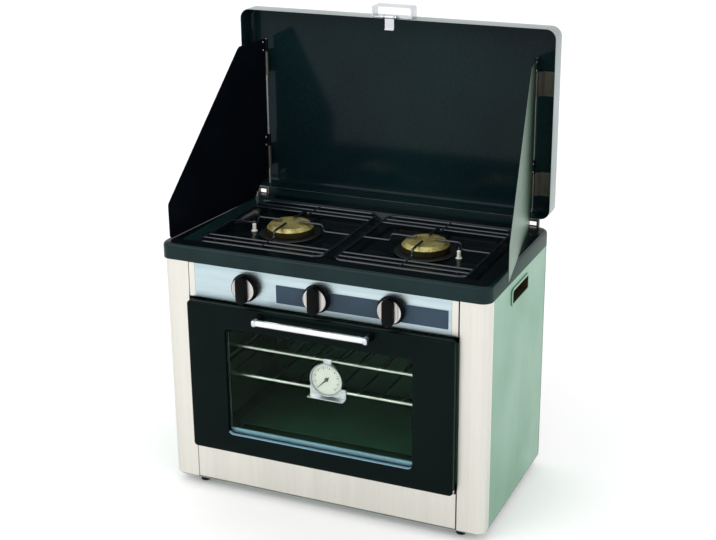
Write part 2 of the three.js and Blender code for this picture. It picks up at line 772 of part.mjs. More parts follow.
function basePan() {
  const shape = new THREE.Shape();
  shape.absarc(-HALF_WIDTH + POST_RADIUS, POST_RADIUS, POST_RADIUS, Math.PI, 1.5 * Math.PI);
  shape.absarc(HALF_WIDTH - POST_RADIUS, POST_RADIUS, POST_RADIUS, -Math.PI / 2, 0);
  shape.lineTo(HALF_WIDTH, CABINET_DEPTH);
  shape.lineTo(-HALF_WIDTH, CABINET_DEPTH);
  const halfX = BASE_VENT_LENGTH / 2;
  const halfY = BASE_VENT_WIDTH / 2;
  const slots = SIDES.flatMap(({ sign }) => BASE_VENT_ROW_SHARES.map((share) => {
    const x = sign * OVEN_HALF_WIDTH / 2;
    const y = share * CABINET_DEPTH;
    return block(x - halfX, x + halfX, y - halfY, y + halfY, -OVERRUN, SHEET + OVERRUN);
  }));
  return cut(alongZ(shape, 0, SHEET), ...slots);
}

function foot() {
  const collar = -GAP - FOOT_COLLAR;
  return upright(turned([
    [0, -FOOT_HEIGHT], [FOOT_PAD_RADIUS, -FOOT_HEIGHT], [FOOT_PAD_RADIUS, -FOOT_HEIGHT + FOOT_PAD],
    [FOOT_STEM_RADIUS, -FOOT_HEIGHT + FOOT_PAD], [FOOT_STEM_RADIUS, collar],
    [FOOT_COLLAR_RADIUS, collar], [FOOT_COLLAR_RADIUS, -GAP], [0, -GAP],
  ], ROD_SIDES));
}

// A front sheet with a flange folded back at its top and bottom
function frontSheet(z0, z1) {
  const half = POST_INNER - PANEL_SIDE_GAP;
  const low = z0 + SHEET / 2;
  const high = z1 - SHEET / 2;
  const middle = SHEET / 2;
  return alongX(folded([[FLANGE, low], [middle, low], [middle, high], [FLANGE, high]]), -half, half);
}

// The kick panel carries the two lugs that the door's pins are fixed to
function kickPanel() {
  const lugs = SIDES.map(({ sign }) => doorLug(sign));
  return join(frontSheet(BASE_TOP, KICK_HEIGHT), ...lugs);
}

function doorLug(sign) {
  const { y, z } = DOOR_AXIS;
  const shape = new THREE.Shape();
  shape.moveTo(LUG_BACK, KICK_HEIGHT - SHEET / 2);
  shape.lineTo(LUG_BACK, z + LUG_RADIUS);
  shape.lineTo(y, z + LUG_RADIUS);
  shape.absarc(y, z, LUG_RADIUS, Math.PI / 2, 1.5 * Math.PI);
  shape.lineTo(LUG_BACK - LUG_NECK, z - LUG_RADIUS);
  shape.lineTo(LUG_BACK - LUG_NECK, KICK_HEIGHT - SHEET / 2);
  const plate = alongX(shape, LUG_X, LUG_X + LUG_THICKNESS, ARC_STEPS);
  const pin = barX(DOOR_PIN_RADIUS, LUG_X + LUG_THICKNESS / 2, DOOR_HALF_WIDTH + GAP, y, z);
  const lug = join(plate, pin);
  return sign > 0 ? lug : mirrored(lug);
}

function controlPanel() {
  const holes = knobPlaces().map((x) => stemHole(x, SHEET));
  return cut(frontSheet(PANEL_BOTTOM, CABINET_HEIGHT - GAP), ...holes);
}

function knobPlaces() {
  return [-KNOB_PITCH, 0, KNOB_PITCH];
}

function stemHole(x, depth) {
  return barY(STEM_HOLE_RADIUS, -OVERRUN, depth + OVERRUN, x, KNOB_LEVEL);
}

function controlLabel() {
  const shape = rectangle(LABEL_LEFT, LABEL_RIGHT, LABEL_TOP - LABEL_HEIGHT, LABEL_TOP);
  const plate = alongY(shape, -GAP - LABEL_THICKNESS, -GAP);
  const under = knobPlaces().filter((x) => x > LABEL_LEFT && x < LABEL_RIGHT);
  return cut(plate, ...under.map((x) => stemHole(x, 0)));
}

function buildCabinet(body) {
  addPiece(body, 'base_pan', basePan(), FINISH.body_steel);
  addPiece(body, 'back_panel', backPanel(), FINISH.body_steel);
  for (const { name, sign } of SIDES) {
    addPiece(body, `front_post_${name}`, frontPost(sign), FINISH.front_steel);
    addPiece(body, `side_panel_${name}`, sidePanel(sign), FINISH.body_steel);
    const cup = gripCup();
    addPiece(body, `grip_cup_${name}`, sign > 0 ? cup : mirrored(cup), FINISH.grip_plastic);
    const ends = { front: FOOT_END, rear: CABINET_DEPTH - FOOT_END };
    for (const [end, y] of Object.entries(ends)) {
      const mesh = addPiece(body, `foot_${end}_${name}`, foot(), FINISH.rubber);
      mesh.position.set(sign * (HALF_WIDTH - FOOT_SIDE), y, 0);
    }
  }
  addPiece(body, 'kick_panel', kickPanel(), FINISH.front_steel);
  addPiece(body, 'control_panel', controlPanel(), FINISH.panel_steel);
  addPiece(body, 'control_label', controlLabel(), FINISH.label);
}

// Gas train

function valve(x) {
  const half = VALVE_WIDTH / 2;
  const back = MANIFOLD_SET_BACK - MANIFOLD_RADIUS - GAP;
  const low = KNOB_LEVEL - VALVE_HEIGHT / 2;
  const housing = block(x - half, x + half, VALVE_FRONT, back, low, low + VALVE_HEIGHT);
  const nose = barY(half, VALVE_FRONT - half, VALVE_FRONT + half, x, KNOB_LEVEL);
  const mouth = VALVE_FRONT - half - OVERRUN;
  const bore = barY(STEM_RADIUS + GAP, mouth, VALVE_FRONT + VALVE_BORE, x, KNOB_LEVEL);
  return cut(join(housing, nose), bore);
}

function manifold() {
  const start = -KNOB_PITCH - VALVE_WIDTH;
  const end = CABINET_DEPTH + GAP + INLET_NUT;
  const pipe = wire([
    [start, MANIFOLD_SET_BACK, KNOB_LEVEL], [MANIFOLD_SIDE, MANIFOLD_SET_BACK, KNOB_LEVEL],
    [MANIFOLD_SIDE, end, KNOB_LEVEL],
  ], MANIFOLD_RADIUS, MANIFOLD_BEND, ROD_SIDES);
  const x = MANIFOLD_SIDE;
  const nut = barY(INLET_NUT_RADIUS, CABINET_DEPTH + GAP, end, x, KNOB_LEVEL, WIRE_SIDES);
  const nipple = barY(INLET_NIPPLE_RADIUS, end - OVERRUN, end + INLET_NIPPLE, x, KNOB_LEVEL);
  return join(pipe, nut, nipple);
}

// The y where the feed pipes leave the underside of the valves
function feedStart() {
  return (VALVE_FRONT + MANIFOLD_SET_BACK - MANIFOLD_RADIUS) / 2;
}

function feedPipe(sign) {
  const top = KNOB_LEVEL - VALVE_HEIGHT / 2 - GAP;
  const end = TRAY_FLOOR - BOWL_DEPTH - BOWL_STEM;
  const level = CABINET_HEIGHT - FEED_DROP;
  return wire([
    [sign * KNOB_PITCH, feedStart(), top], [sign * KNOB_PITCH, feedStart(), level],
    [sign * BURNER_X, BURNER_Y, level], [sign * BURNER_X, BURNER_Y, end],
  ], FEED_RADIUS, FEED_BEND, PIPE_SIDES);
}

// The oven's straight tube burner, its feed pipe and the two legs it stands on
function ovenBurner() {
  const top = KNOB_LEVEL - VALVE_HEIGHT / 2 - GAP;
  const y = BURNER_Y;
  const z = OVEN_BURNER_LEVEL;
  const level = CABINET_HEIGHT - OVEN_FEED_DROP;
  const pipe = wire([
    [0, feedStart(), top], [0, feedStart(), level],
    [OVEN_FEED_SIDE, feedStart(), level], [OVEN_FEED_SIDE, feedStart(), z],
    [OVEN_FEED_SIDE, y, z], [OVEN_BURNER_HALF - OVERRUN, y, z],
  ], FEED_RADIUS, FEED_BEND, PIPE_SIDES);
  const tube = barX(OVEN_BURNER_RADIUS, -OVEN_BURNER_HALF, OVEN_BURNER_HALF, y, z);
  const legs = SIDES.map(({ sign }) => {
    const x = sign * OVEN_BURNER_HALF * OVEN_BURNER_LEG_SHARE;
    return block(x - OVEN_BURNER_LEG / 2, x + OVEN_BURNER_LEG / 2, y - SHEET, y + SHEET, BASE_TOP, z);
  });
  return join(pipe, tube, ...legs);
}

function buildGasTrain(body) {
  addPiece(body, 'gas_manifold', manifold(), FINISH.brass);
  const names = ['left', 'centre', 'right'];
  knobPlaces().forEach((x, i) => {
    addPiece(body, `gas_valve_${names[i]}`, valve(x), FINISH.brass);
  });
  for (const { name, sign } of SIDES) {
    addPiece(body, `feed_pipe_${name}`, feedPipe(sign), FINISH.aluminised);
  }
  addPiece(body, 'oven_burner', ovenBurner(), FINISH.aluminised);
}

// The knob, its face and the bar that fingers turn it by, drawn about its own axis
function knob() {
  const disc = turned([
    [0, 0], [KNOB_RADIUS, 0], [KNOB_RADIUS, KNOB_SKIRT * KNOB_RIM_SHARE], [KNOB_FACE_RADIUS, KNOB_SKIRT],
    [KNOB_FACE_RADIUS - BEND, KNOB_SKIRT + KNOB_FACE / 2], [0, KNOB_SKIRT + KNOB_FACE / 2],
  ]);
  const bar = alongY(rectangle(-GRIP_BAR_WIDTH / 2, GRIP_BAR_WIDTH / 2, -GRIP_BAR_HEIGHT, GRIP_BAR_HEIGHT,
    GRIP_BAR_WIDTH / 2), KNOB_SKIRT / 2, GRIP_BAR_FRONT);
  const socket = barY(STEM_RADIUS + GAP, -OVERRUN, STEM_IN_KNOB, 0, 0);
  const solid = cut(join(disc, bar), socket);
  return solid.rotateZ(Math.PI);
}

function buildKnobs(root) {
  const names = ['left', 'centre', 'right'];
  knobPlaces().forEach((x, i) => {
    const stemBody = addBody(root, new THREE.Vector3(x, 0, KNOB_LEVEL));
    const stemBack = VALVE_FRONT + VALVE_BORE - KNOB_PUSH - PLAY;
    const stem = barY(STEM_RADIUS, KNOB_BACK - STEM_IN_KNOB + PLAY, stemBack, x, KNOB_LEVEL);
    addPiece(stemBody, `tap_stem_${names[i]}`, stem, FINISH.chrome);
    const knobBody = addBody(stemBody, new THREE.Vector3(x, 0, KNOB_LEVEL));
    const mesh = new THREE.Mesh(knob(), FINISH.black_plastic);
    mesh.name = `knob_${names[i]}`;
    mesh.position.set(0, KNOB_BACK, 0);
    knobBody.add(mesh);
  });
}

// Oven

function ledgeTop(level) {
  return level - RACK_WIRE - GAP;
}

function ovenLiner() {
  const half = OVEN_HALF_WIDTH;
  const outside = block(-half - SHEET, half + SHEET, OVEN_FRONT, OVEN_BACK + SHEET,
    OVEN_FLOOR - SHEET, OVEN_CEILING + SHEET);
  const reach = POST_INNER - PANEL_SIDE_GAP;
  const low = OVEN_FLOOR - OVEN_FLANGE;
  const flange = block(-reach, reach, OVEN_FRONT, OVEN_FRONT + SHEET, low, OVEN_CEILING + OVEN_FLANGE);
  const inside = block(-half, half, OVEN_FRONT - OVERRUN, OVEN_BACK, OVEN_FLOOR, OVEN_CEILING);
  const slotHalf = half - OVEN_SLOT_SIDE;
  const slots = [OVEN_FRONT + OVEN_SLOT_INSET, OVEN_BACK - OVEN_SLOT_INSET].map((y) => block(
    -slotHalf, slotHalf, y - OVEN_SLOT_WIDTH / 2, y + OVEN_SLOT_WIDTH / 2,
    OVEN_FLOOR - SHEET - OVERRUN, OVEN_FLOOR + OVERRUN));
  const notches = SIDES.map(({ sign }) => {
    const near = LUG_X - OVERRUN;
    const x = [sign * near, sign * (POST_INNER + OVERRUN)].sort((a, b) => a - b);
    const top = DOOR_AXIS.z + LUG_RADIUS + LUG_NECK;
    return block(x[0], x[1], OVEN_FRONT - OVERRUN, LUG_BACK + OVERRUN, low - OVERRUN, top);
  });
  const shell = cut(join(outside, flange), inside, ...slots, ...notches);
  const ledges = SIDES.flatMap(({ sign }) => RACK_LEVELS.map((level) => {
    const x = [sign * (half - LEDGE_WIDTH), sign * (half + SHEET / 2)].sort((a, b) => a - b);
    const top = ledgeTop(level);
    return block(x[0], x[1], RACK_FRONT / 2, OVEN_BACK, top - LEDGE_THICKNESS, top);
  }));
  return join(shell, ...ledges);
}

function ovenBaffle() {
  const low = OVEN_FLOOR + GAP;
  const high = OVEN_FLOOR + BAFFLE_LIFT;
  const half = BAFFLE_HALF_WIDTH;
  const sheet = folded([[-half, low], [-half, high], [half, high], [half, low]]);
  return alongY(sheet, OVEN_FRONT + BAFFLE_FRONT_INSET, OVEN_BACK - BAFFLE_BACK_INSET);
}

function rack(level) {
  const half = RACK_HALF_WIDTH;
  const frame = wireFrame(-half, half, RACK_FRONT, RACK_BACK, level, RACK_WIRE, RACK_CORNER);
  const bars = [];
  for (let i = 0; i < RACK_BARS; i += 1) {
    const x = half * (2 * (i + 1) / (RACK_BARS + 1) - 1);
    bars.push(barY(RACK_BAR, RACK_FRONT, RACK_BACK, x, level + RACK_WIRE - RACK_BAR / 2, WIRE_SIDES));
  }
  return join(frame, ...bars);
}

function buildOven(root) {
  addPiece(root, 'oven_liner', ovenLiner(), FINISH.aluminised);
  addPiece(root, 'oven_baffle', ovenBaffle(), FINISH.aluminised);
  const bodies = RACK_LEVELS.map((level) => addBody(root, new THREE.Vector3(0, RACK_FRONT, level)));
  addPiece(bodies[0], 'rack_lower', rack(RACK_LEVELS[0]), FINISH.chrome);
  addPiece(bodies[1], 'rack_upper', rack(RACK_LEVELS[1]), FINISH.chrome);
  return bodies[1];
}

// Thermometer: a cup shaped case with a hook over the rack and a foot below

function thermoPlaces() {
  const level = RACK_LEVELS[1];
  const back = RACK_FRONT - RACK_WIRE - GAP;
  return { level, back, front: back - THERMO_DEPTH, centre: level - THERMO_DROP };
}

function thermoCase() {
  const { level, back, front, centre } = thermoPlaces();
  const x = THERMO_X;
  const drum = barY(THERMO_RADIUS, front, back, x, centre, ROUND_SIDES);
  const inner = THERMO_RADIUS - THERMO_WALL;
  const recess = barY(inner, front - OVERRUN, front + THERMO_RECESS, x, centre, ROUND_SIDES);
  const strip = back - THERMO_WALL / 2;
  const crest = level + RACK_WIRE + GAP + THERMO_WALL / 2;
  const behind = RACK_FRONT + RACK_WIRE + PLAY + THERMO_WALL / 2;
  const bend = folded([
    [strip, centre + THERMO_RADIUS / 2], [strip, crest], [behind, crest],
    [behind, level - THERMO_HOOK_DROP],
  ], THERMO_WALL, RACK_WIRE);
  const width = THERMO_HOOK_WIDTH;
  const hook = alongX(bend, x - width / 2, x + width / 2);
  const low = level - THERMO_FOOT_LEVEL - THERMO_WALL;
  const web = block(x - width, x + width, back - THERMO_WALL, back, low, centre - THERMO_RADIUS / 2);
  const foot = block(x - THERMO_FOOT_HALF, x + THERMO_FOOT_HALF, back - THERMO_FOOT_DEPTH, back,
    low, low + THERMO_WALL);
  return cut(join(drum, hook, web, foot), recess);
}

function thermoDial() {
  const { front, centre } = thermoPlaces();
  const floor = front + THERMO_RECESS - GAP;
  const face = floor - DIAL_THICKNESS;
  const radius = THERMO_RADIUS - THERMO_WALL - GAP;
  const disc = barY(radius, face, floor, THERMO_X, centre, ROUND_SIDES);
  const pin = barY(NEEDLE_PIN_RADIUS, face - NEEDLE_THICKNESS - PLAY, floor, THERMO_X, centre);
  return join(disc, pin);
}

// The needle is drawn pointing up about its own axis and turned to its rest angle
function needle() {
  const half = NEEDLE_WIDTH / 2;
  const tail = -NEEDLE_LENGTH / 3;
  const outline = polygon([
    [-half, 0], [-half / 2, tail], [half / 2, tail],
    [half, 0], [half / 4, NEEDLE_LENGTH], [-half / 4, NEEDLE_LENGTH],
  ]);
  const blade = alongY(outline, 0, NEEDLE_THICKNESS);
  const hub = barY(NEEDLE_HUB_RADIUS, 0, NEEDLE_THICKNESS, 0, 0);
  const bore = barY(NEEDLE_PIN_RADIUS + GAP, -OVERRUN, NEEDLE_THICKNESS + OVERRUN, 0, 0);
  return cut(join(blade, hub), bore);
}

function buildThermometer(upperRack) {
  const { level, front, centre } = thermoPlaces();
  const body = addBody(upperRack, new THREE.Vector3(THERMO_X, RACK_FRONT, level));
  addPiece(body, 'thermometer_case', thermoCase(), FINISH.chrome);
  addPiece(body, 'thermometer_dial', thermoDial(), FINISH.dial);
  const face = front + THERMO_RECESS - GAP - DIAL_THICKNESS;
  const needleBody = addBody(body, new THREE.Vector3(THERMO_X, face - GAP - NEEDLE_THICKNESS, centre));
  const mesh = new THREE.Mesh(needle(), FINISH.needle);
  mesh.name = 'thermometer_needle';
  mesh.rotation.y = NEEDLE_REST_ANGLE;
  needleBody.add(mesh);
}

// Oven door

// A quarter of free space round the pin, from straight back to straight down
function doorNotch(sign) {
  const { y, z } = DOOR_AXIS;
  const near = LUG_X - PLAY;
  const far = LUG_X + LUG_THICKNESS + PLAY;
  const front = y - LUG_RADIUS - GAP;
  const notch = block(near, far, front, OVERRUN, DOOR_BOTTOM - OVERRUN, z + NOTCH_RADIUS);
  return sign > 0 ? notch : mirrored(notch);
}

function doorPanel() {
  const half = DOOR_HALF_WIDTH;
  const back = -SHEET - GAP;
  const outline = withWindow(rectangle(-half, half, DOOR_BOTTOM, DOOR_TOP, DOOR_CORNER), 0);
  const slab = alongY(outline, DOOR_FRONT, back);
  const inside = withWindow(rectangle(-half + DOOR_WALL, half - DOOR_WALL,
    DOOR_BOTTOM + DOOR_WALL, DOOR_TOP - DOOR_WALL, DOOR_CORNER - DOOR_WALL), DOOR_WALL);
  const hollow = alongY(inside, DOOR_FRONT + DOOR_FACE, back + OVERRUN);
  const margin = GLASS_MARGIN + OVERRUN;
  const behindLip = block(-WINDOW_HALF_WIDTH - margin, WINDOW_HALF_WIDTH + margin,
    DOOR_FRONT + WINDOW_LIP, back + OVERRUN, WINDOW_BOTTOM - margin, WINDOW_TOP + margin);
  const pinHole = barX(DOOR_PIN_RADIUS + GAP, -half - OVERRUN, half + OVERRUN, DOOR_AXIS.y, DOOR_AXIS.z);
  return cut(slab, hollow, behindLip, pinHole, ...SIDES.map(({ sign }) => doorNotch(sign)));
}

// The window's outline, let out by a margin on every side
function windowOutline(margin, radius) {
  return rectangle(-WINDOW_HALF_WIDTH - margin, WINDOW_HALF_WIDTH + margin,
    WINDOW_BOTTOM - margin, WINDOW_TOP + margin, radius);
}

function withWindow(shape, margin) {
  return withHole(shape, -WINDOW_HALF_WIDTH - margin, WINDOW_HALF_WIDTH + margin,
    WINDOW_BOTTOM - margin, WINDOW_TOP + margin, WINDOW_CORNER + margin);
}

function doorGlass() {
  const front = DOOR_FRONT + WINDOW_LIP + GAP;
  return alongY(windowOutline(GLASS_MARGIN, WINDOW_CORNER), front, front + GLASS_THICKNESS);
}

// The door's inner sheet, with a lip forward that holds the glass from behind
function doorLiner() {
  const half = DOOR_HALF_WIDTH - DOOR_WALL - GAP;
  const low = DOOR_BOTTOM + DOOR_WALL + GAP;
  const high = DOOR_TOP - DOOR_WALL - GAP;
  const plate = withWindow(rectangle(-half, half, low, high, DOOR_CORNER - DOOR_WALL), 0);
  const lip = withWindow(windowOutline(DOOR_WALL, WINDOW_CORNER + DOOR_WALL), 0);
  const glassBack = DOOR_FRONT + WINDOW_LIP + GAP + GLASS_THICKNESS;
  const solid = join(alongY(plate, -SHEET, 0), alongY(lip, glassBack + GAP, -SHEET / 2));
  return cut(solid, ...SIDES.map(({ sign }) => doorNotch(sign)));
}

function handleBar() {
  const reach = HANDLE_HALF + HANDLE_SEAT;
  return barX(HANDLE_RADIUS, -reach, reach, DOOR_FRONT - HANDLE_STAND_OFF, HANDLE_LEVEL);
}

function handleBracket(sign) {
  const y = DOOR_FRONT - HANDLE_STAND_OFF;
  const inner = HANDLE_HALF;
  const outer = HANDLE_HALF + HANDLE_END;
  const knuckle = barX(HANDLE_END_RADIUS, inner, outer, y, HANDLE_LEVEL);
  const arm = block(inner, outer, y, DOOR_FRONT - GAP,
    HANDLE_LEVEL - HANDLE_RADIUS, HANDLE_LEVEL + HANDLE_RADIUS);
  const seat = barX(HANDLE_RADIUS + GAP, inner - OVERRUN, inner + HANDLE_SEAT + GAP, y, HANDLE_LEVEL);
  const bracket = cut(join(knuckle, arm), seat);
  return sign > 0 ? bracket : mirrored(bracket);
}

function buildDoor(root) {
  const body = addBody(root, DOOR_AXIS);
  addPiece(body, 'door_panel', doorPanel(), FINISH.door_black);
  addPiece(body, 'door_glass', doorGlass(), FINISH.glass);
  addPiece(body, 'door_liner', doorLiner(), FINISH.aluminised);
  addPiece(body, 'handle_bar', handleBar(), FINISH.chrome);
  for (const { name, sign } of SIDES) {
    addPiece(body, `handle_bracket_${name}`, handleBracket(sign), FINISH.chrome);
  }
}

// Hob

function hobTray() {
  const wall = [[0, TRAY_TOP - TRAY_ROUND], [0, TRAY_BOTTOM]];
  const ease = TRAY_ROUND * ROUND_MIDDLE_SHARE;
  const profile = [
    [WELL_INSET, TRAY_FLOOR], [TRAY_RIM, TRAY_TOP], [TRAY_ROUND, TRAY_TOP],
    [ease, TRAY_TOP - ease], ...wall,
  ];
  const depth = TRAY_BACK - TRAY_FRONT;
  const pan = pressed(profile, TRAY_HALF_WIDTH, depth / 2, TRAY_CORNER);
  pan.translate(0, TRAY_FRONT + depth / 2, 0);
  const low = TRAY_FLOOR - SHEET - OVERRUN;
  const high = TRAY_FLOOR + OVERRUN;
  const holes = SIDES.flatMap(({ sign }) => [
    barZ(BURNER_HOLE_RADIUS, low, high, sign * BURNER_X, BURNER_Y, ROUND_SIDES),
    barZ(ELECTRODE_RADIUS + GAP, low, high, electrodeX(sign), electrodeY()),
  ]);
  return cut(pan, ...holes);
}

function electrodeX(sign) {
  return sign * (BURNER_X + ELECTRODE_OUT);
}

function electrodeY() {
  return BURNER_Y - ELECTRODE_FORWARD;
}

// Drawn about the burner's axis, with height zero on the tray's floor
function burnerBowl() {
  const rim = GAP + BOWL_THICKNESS;
  const inner = BOWL_RADIUS - BOWL_THICKNESS;
  const floor = GAP - BOWL_DEPTH;
  return upright(turned([
    [0, floor - BOWL_STEM], [BOWL_STEM_RADIUS, floor - BOWL_STEM],
    [BOWL_STEM_RADIUS, floor - BOWL_THICKNESS],
    [inner, floor], [BOWL_RADIUS, GAP], [BOWL_FLANGE_RADIUS, GAP], [BOWL_FLANGE_RADIUS, rim],
    [inner, rim], [inner - BOWL_THICKNESS, floor + BOWL_THICKNESS], [0, floor + BOWL_THICKNESS],
  ]));
}

function burnerCap() {
  const seat = GAP + BOWL_THICKNESS + GAP;
  const skirt = BOWL_RADIUS - 2 * BOWL_THICKNESS - GAP;
  const body = upright(turned([
    [0, seat + CAP_HEIGHT - CAP_WALL], [skirt - CAP_WALL, seat + CAP_HEIGHT - CAP_WALL],
    [skirt - CAP_WALL, seat - CAP_SKIRT], [skirt - BOWL_THICKNESS, seat - CAP_SKIRT],
    [skirt - BOWL_THICKNESS, seat],
    [CAP_RADIUS, seat], [CAP_RADIUS, seat + CAP_HEIGHT - CAP_EDGE], [CAP_TOP_RADIUS, seat + CAP_HEIGHT],
    [0, seat + CAP_HEIGHT],
  ]));
  const ports = [];
  for (let i = 0; i < PORT_COUNT; i += 1) {
    const slot = block(CAP_RADIUS - PORT_DEPTH, CAP_RADIUS + OVERRUN, -PORT_WIDTH / 2, PORT_WIDTH / 2,
      seat + BOWL_THICKNESS, seat + BOWL_THICKNESS + PORT_HEIGHT);
    ports.push(slot.rotateZ((i + 0.5) / PORT_COUNT * 2 * Math.PI));
  }
  return cut(body, ...ports);
}

// The spark electrode's ceramic, with a collar on the tray and its wire tip on top
function electrode() {
  const collar = GAP + BOWL_THICKNESS;
  const top = ELECTRODE_RISE;
  return upright(turned([
    [0, -ELECTRODE_DROP], [ELECTRODE_RADIUS, -ELECTRODE_DROP],
    [ELECTRODE_RADIUS, GAP], [ELECTRODE_COLLAR, GAP],
    [ELECTRODE_COLLAR, collar], [ELECTRODE_RADIUS, collar],
    [ELECTRODE_RADIUS, top], [ELECTRODE_TIP_RADIUS, top],
    [ELECTRODE_TIP_RADIUS, top + ELECTRODE_TIP], [0, top + ELECTRODE_TIP],
  ], ROD_SIDES));
}

// Pot support: a wire frame on four feet, bars across it, and four fingers over the burner
function potSupport() {
  const half = GRATE_HALF_WIDTH;
  const front = GRATE_FRONT - BURNER_Y;
  const back = GRATE_BACK - BURNER_Y;
  const low = GAP + GRATE_LIFT + GRATE_WIRE;
  const high = low + GRATE_RISE;
  const frame = wireFrame(-half, half, front, back, low, GRATE_WIRE, GRATE_CORNER);
  const insets = [GRATE_OUTER_BAR_INSET, GRATE_INNER_BAR_INSET];
  const bars = insets.flatMap((inset) => [front + inset, back - inset])
    .map((y) => barX(GRATE_BAR, -half, half, y, low, WIRE_SIDES));
  const ends = [[half, 0], [0, back], [-half, 0], [0, front]];
  const fingers = ends.map(([x, y]) => {
    const reach = Math.hypot(x, y);
    const at = (distance, z) => [x / reach * distance, y / reach * distance, z];
    return wire([at(reach, low), at(GRATE_RISER, low), at(GRATE_RISER, high), at(GRATE_TIP, high)],
      GRATE_BAR, GRATE_FINGER_BEND);
  });
  const feetY = [front + GRATE_OUTER_BAR_INSET, back - GRATE_OUTER_BAR_INSET];
  const feet = SIDES.flatMap(({ sign }) => feetY
    .map((y) => barZ(GRATE_WIRE, GAP, low, sign * (half - GRATE_FOOT_INSET), y, WIRE_SIDES)));
  return join(frame, ...bars, ...fingers, ...feet);
}

function buildHob(root) {
  addPiece(root, 'hob_tray', hobTray(), FINISH.enamel);
  addPiece(root, 'rear_upstand', rearUpstand(), FINISH.enamel);
  for (const { name, sign } of SIDES) {
    const place = new THREE.Vector3(sign * BURNER_X, BURNER_Y, TRAY_FLOOR);
    const bowl = new THREE.Mesh(burnerBowl(), FINISH.burner_metal);
    bowl.name = `burner_bowl_${name}`;
    bowl.position.copy(place);
    root.add(bowl);
    const spark = new THREE.Mesh(electrode(), FINISH.ceramic);
    spark.name = `electrode_${name}`;
    spark.position.set(electrodeX(sign), electrodeY(), TRAY_FLOOR);
    root.add(spark);
    for (const [part, geometry, material] of [
      ['burner_cap', burnerCap(), FINISH.brass], ['pot_support', potSupport(), FINISH.wire_black],
    ]) {
      const body = addBody(root, place);
      const mesh = new THREE.Mesh(geometry, material);
      mesh.name = `${part}_${name}`;
      body.add(mesh);
    }
  }
}

// Lid

// The lid is pressed lying down and stood up, its panel to the back and its lip to the front
function lidShell() {
  const ease = LID_ROUND * ROUND_MIDDLE_SHARE;
  const profile = [[LID_ROUND, LID_DEPTH], [ease, LID_DEPTH - ease], [0, LID_DEPTH - LID_ROUND], [0, 0]];
  const pan = pressed(profile, LID_HALF_WIDTH, LID_LENGTH / 2, LID_CORNER);
  pan.rotateX(-Math.PI / 2).translate(0, LID_LIP, (LID_BOTTOM + LID_TOP) / 2);
  const { y: axisY, z: axisZ } = LID_AXIS;
  const knuckles = SIDES.map(({ sign }) => {
    const x = sign * HINGE_X;
    const half = HINGE_KNUCKLE / 2;
    return barX(HINGE_BARREL_RADIUS + PLAY, x - half, x + half, axisY, axisZ);
  });
  const bores = SIDES.map(({ sign }) => {
    const x = sign * HINGE_X;
    return barX(HINGE_PIN_RADIUS + GAP, x - HINGE_KNUCKLE, x + HINGE_KNUCKLE, axisY, axisZ);
  });
  const leaves = SIDES.flatMap(({ name, sign }) => LEAF_LEVELS.map((z) => screenLeaf(name, sign, z)));
  return cut(join(pan, ...knuckles, ...leaves), ...bores, ...SIDES.map(({ name, sign }) => {
    const y = screenRodY(name);
    return barZ(SCREEN_ROD_RADIUS + GAP, SCREEN_BOTTOM, SCREEN_TOP, sign * SCREEN_X, y);
  }));
}

// The leaf that holds a windscreen's rod: flat on the lid's panel, then forward to the rod
function screenLeaf(name, sign, level) {
  const panel = LID_PANEL - SHEET;
  const y = screenRodY(name);
  const flat = panel - LEAF_THICKNESS / 2 + GAP;
  const line = [
    [SCREEN_X + LEAF_OUT + LEAF_WIDTH, flat], [SCREEN_X + LEAF_OUT, flat],
    [SCREEN_X + SCREEN_KNUCKLE_RADIUS / 2, y + SCREEN_KNUCKLE_RADIUS / 2],
  ];
  const low = level - LEAF_HEIGHT / 2;
  const high = level + LEAF_HEIGHT / 2;
  const strip = alongZ(folded(line.map(([x, v]) => [sign * x, v]), LEAF_THICKNESS, BEND), low, high);
  const barrel = barZ(SCREEN_KNUCKLE_RADIUS, low, high, sign * SCREEN_X, y);
  return join(strip, barrel);
}

// The two rods stand one in front of the other, so that the folded windscreens pass
function screenRodY(name) {
  const near = LID_PANEL - SHEET - SCREEN_PANEL_GAP;
  return name === 'left' ? near - SCREEN_STAGGER : near;
}

// The fixed half of a lid hinge: a plate on the back of the tray, two ears and the pin
function lidHinge(sign) {
  const { y, z } = LID_AXIS;
  const x = sign * HINGE_X;
  const half = HINGE_KNUCKLE / 2 + GAP;
  const reach = half + HINGE_EAR;
  const front = TRAY_BACK + GAP;
  const plate = block(x - reach, x + reach, front, front + HINGE_PLATE,
    TRAY_TOP - HINGE_PLATE_DROP, TRAY_TOP);
  const ears = [-1, 1].flatMap((end) => {
    const ends = [x + end * half, x + end * reach].sort((a, b) => a - b);
    return [
      block(ends[0], ends[1], front, y + HINGE_BARREL_RADIUS, TRAY_TOP - HINGE_BARREL_RADIUS, z),
      barX(HINGE_BARREL_RADIUS, ends[0], ends[1], y, z),
    ];
  });
  const pin = barX(HINGE_PIN_RADIUS, x - half - HINGE_EAR / 2, x + half + HINGE_EAR / 2, y, z);
  return join(plate, ...ears, pin);
}

// The strip on the back of the tray that closes the gap under the lid, between the hinges
function rearUpstand() {
  const half = HINGE_X - HINGE_KNUCKLE / 2 - GAP - HINGE_EAR - PLAY;
  const front = TRAY_BACK + GAP;
  return block(-half, half, front, front + SHEET, TRAY_TOP - UPSTAND_LAP, LID_BOTTOM - UPSTAND_CLEARANCE);
}

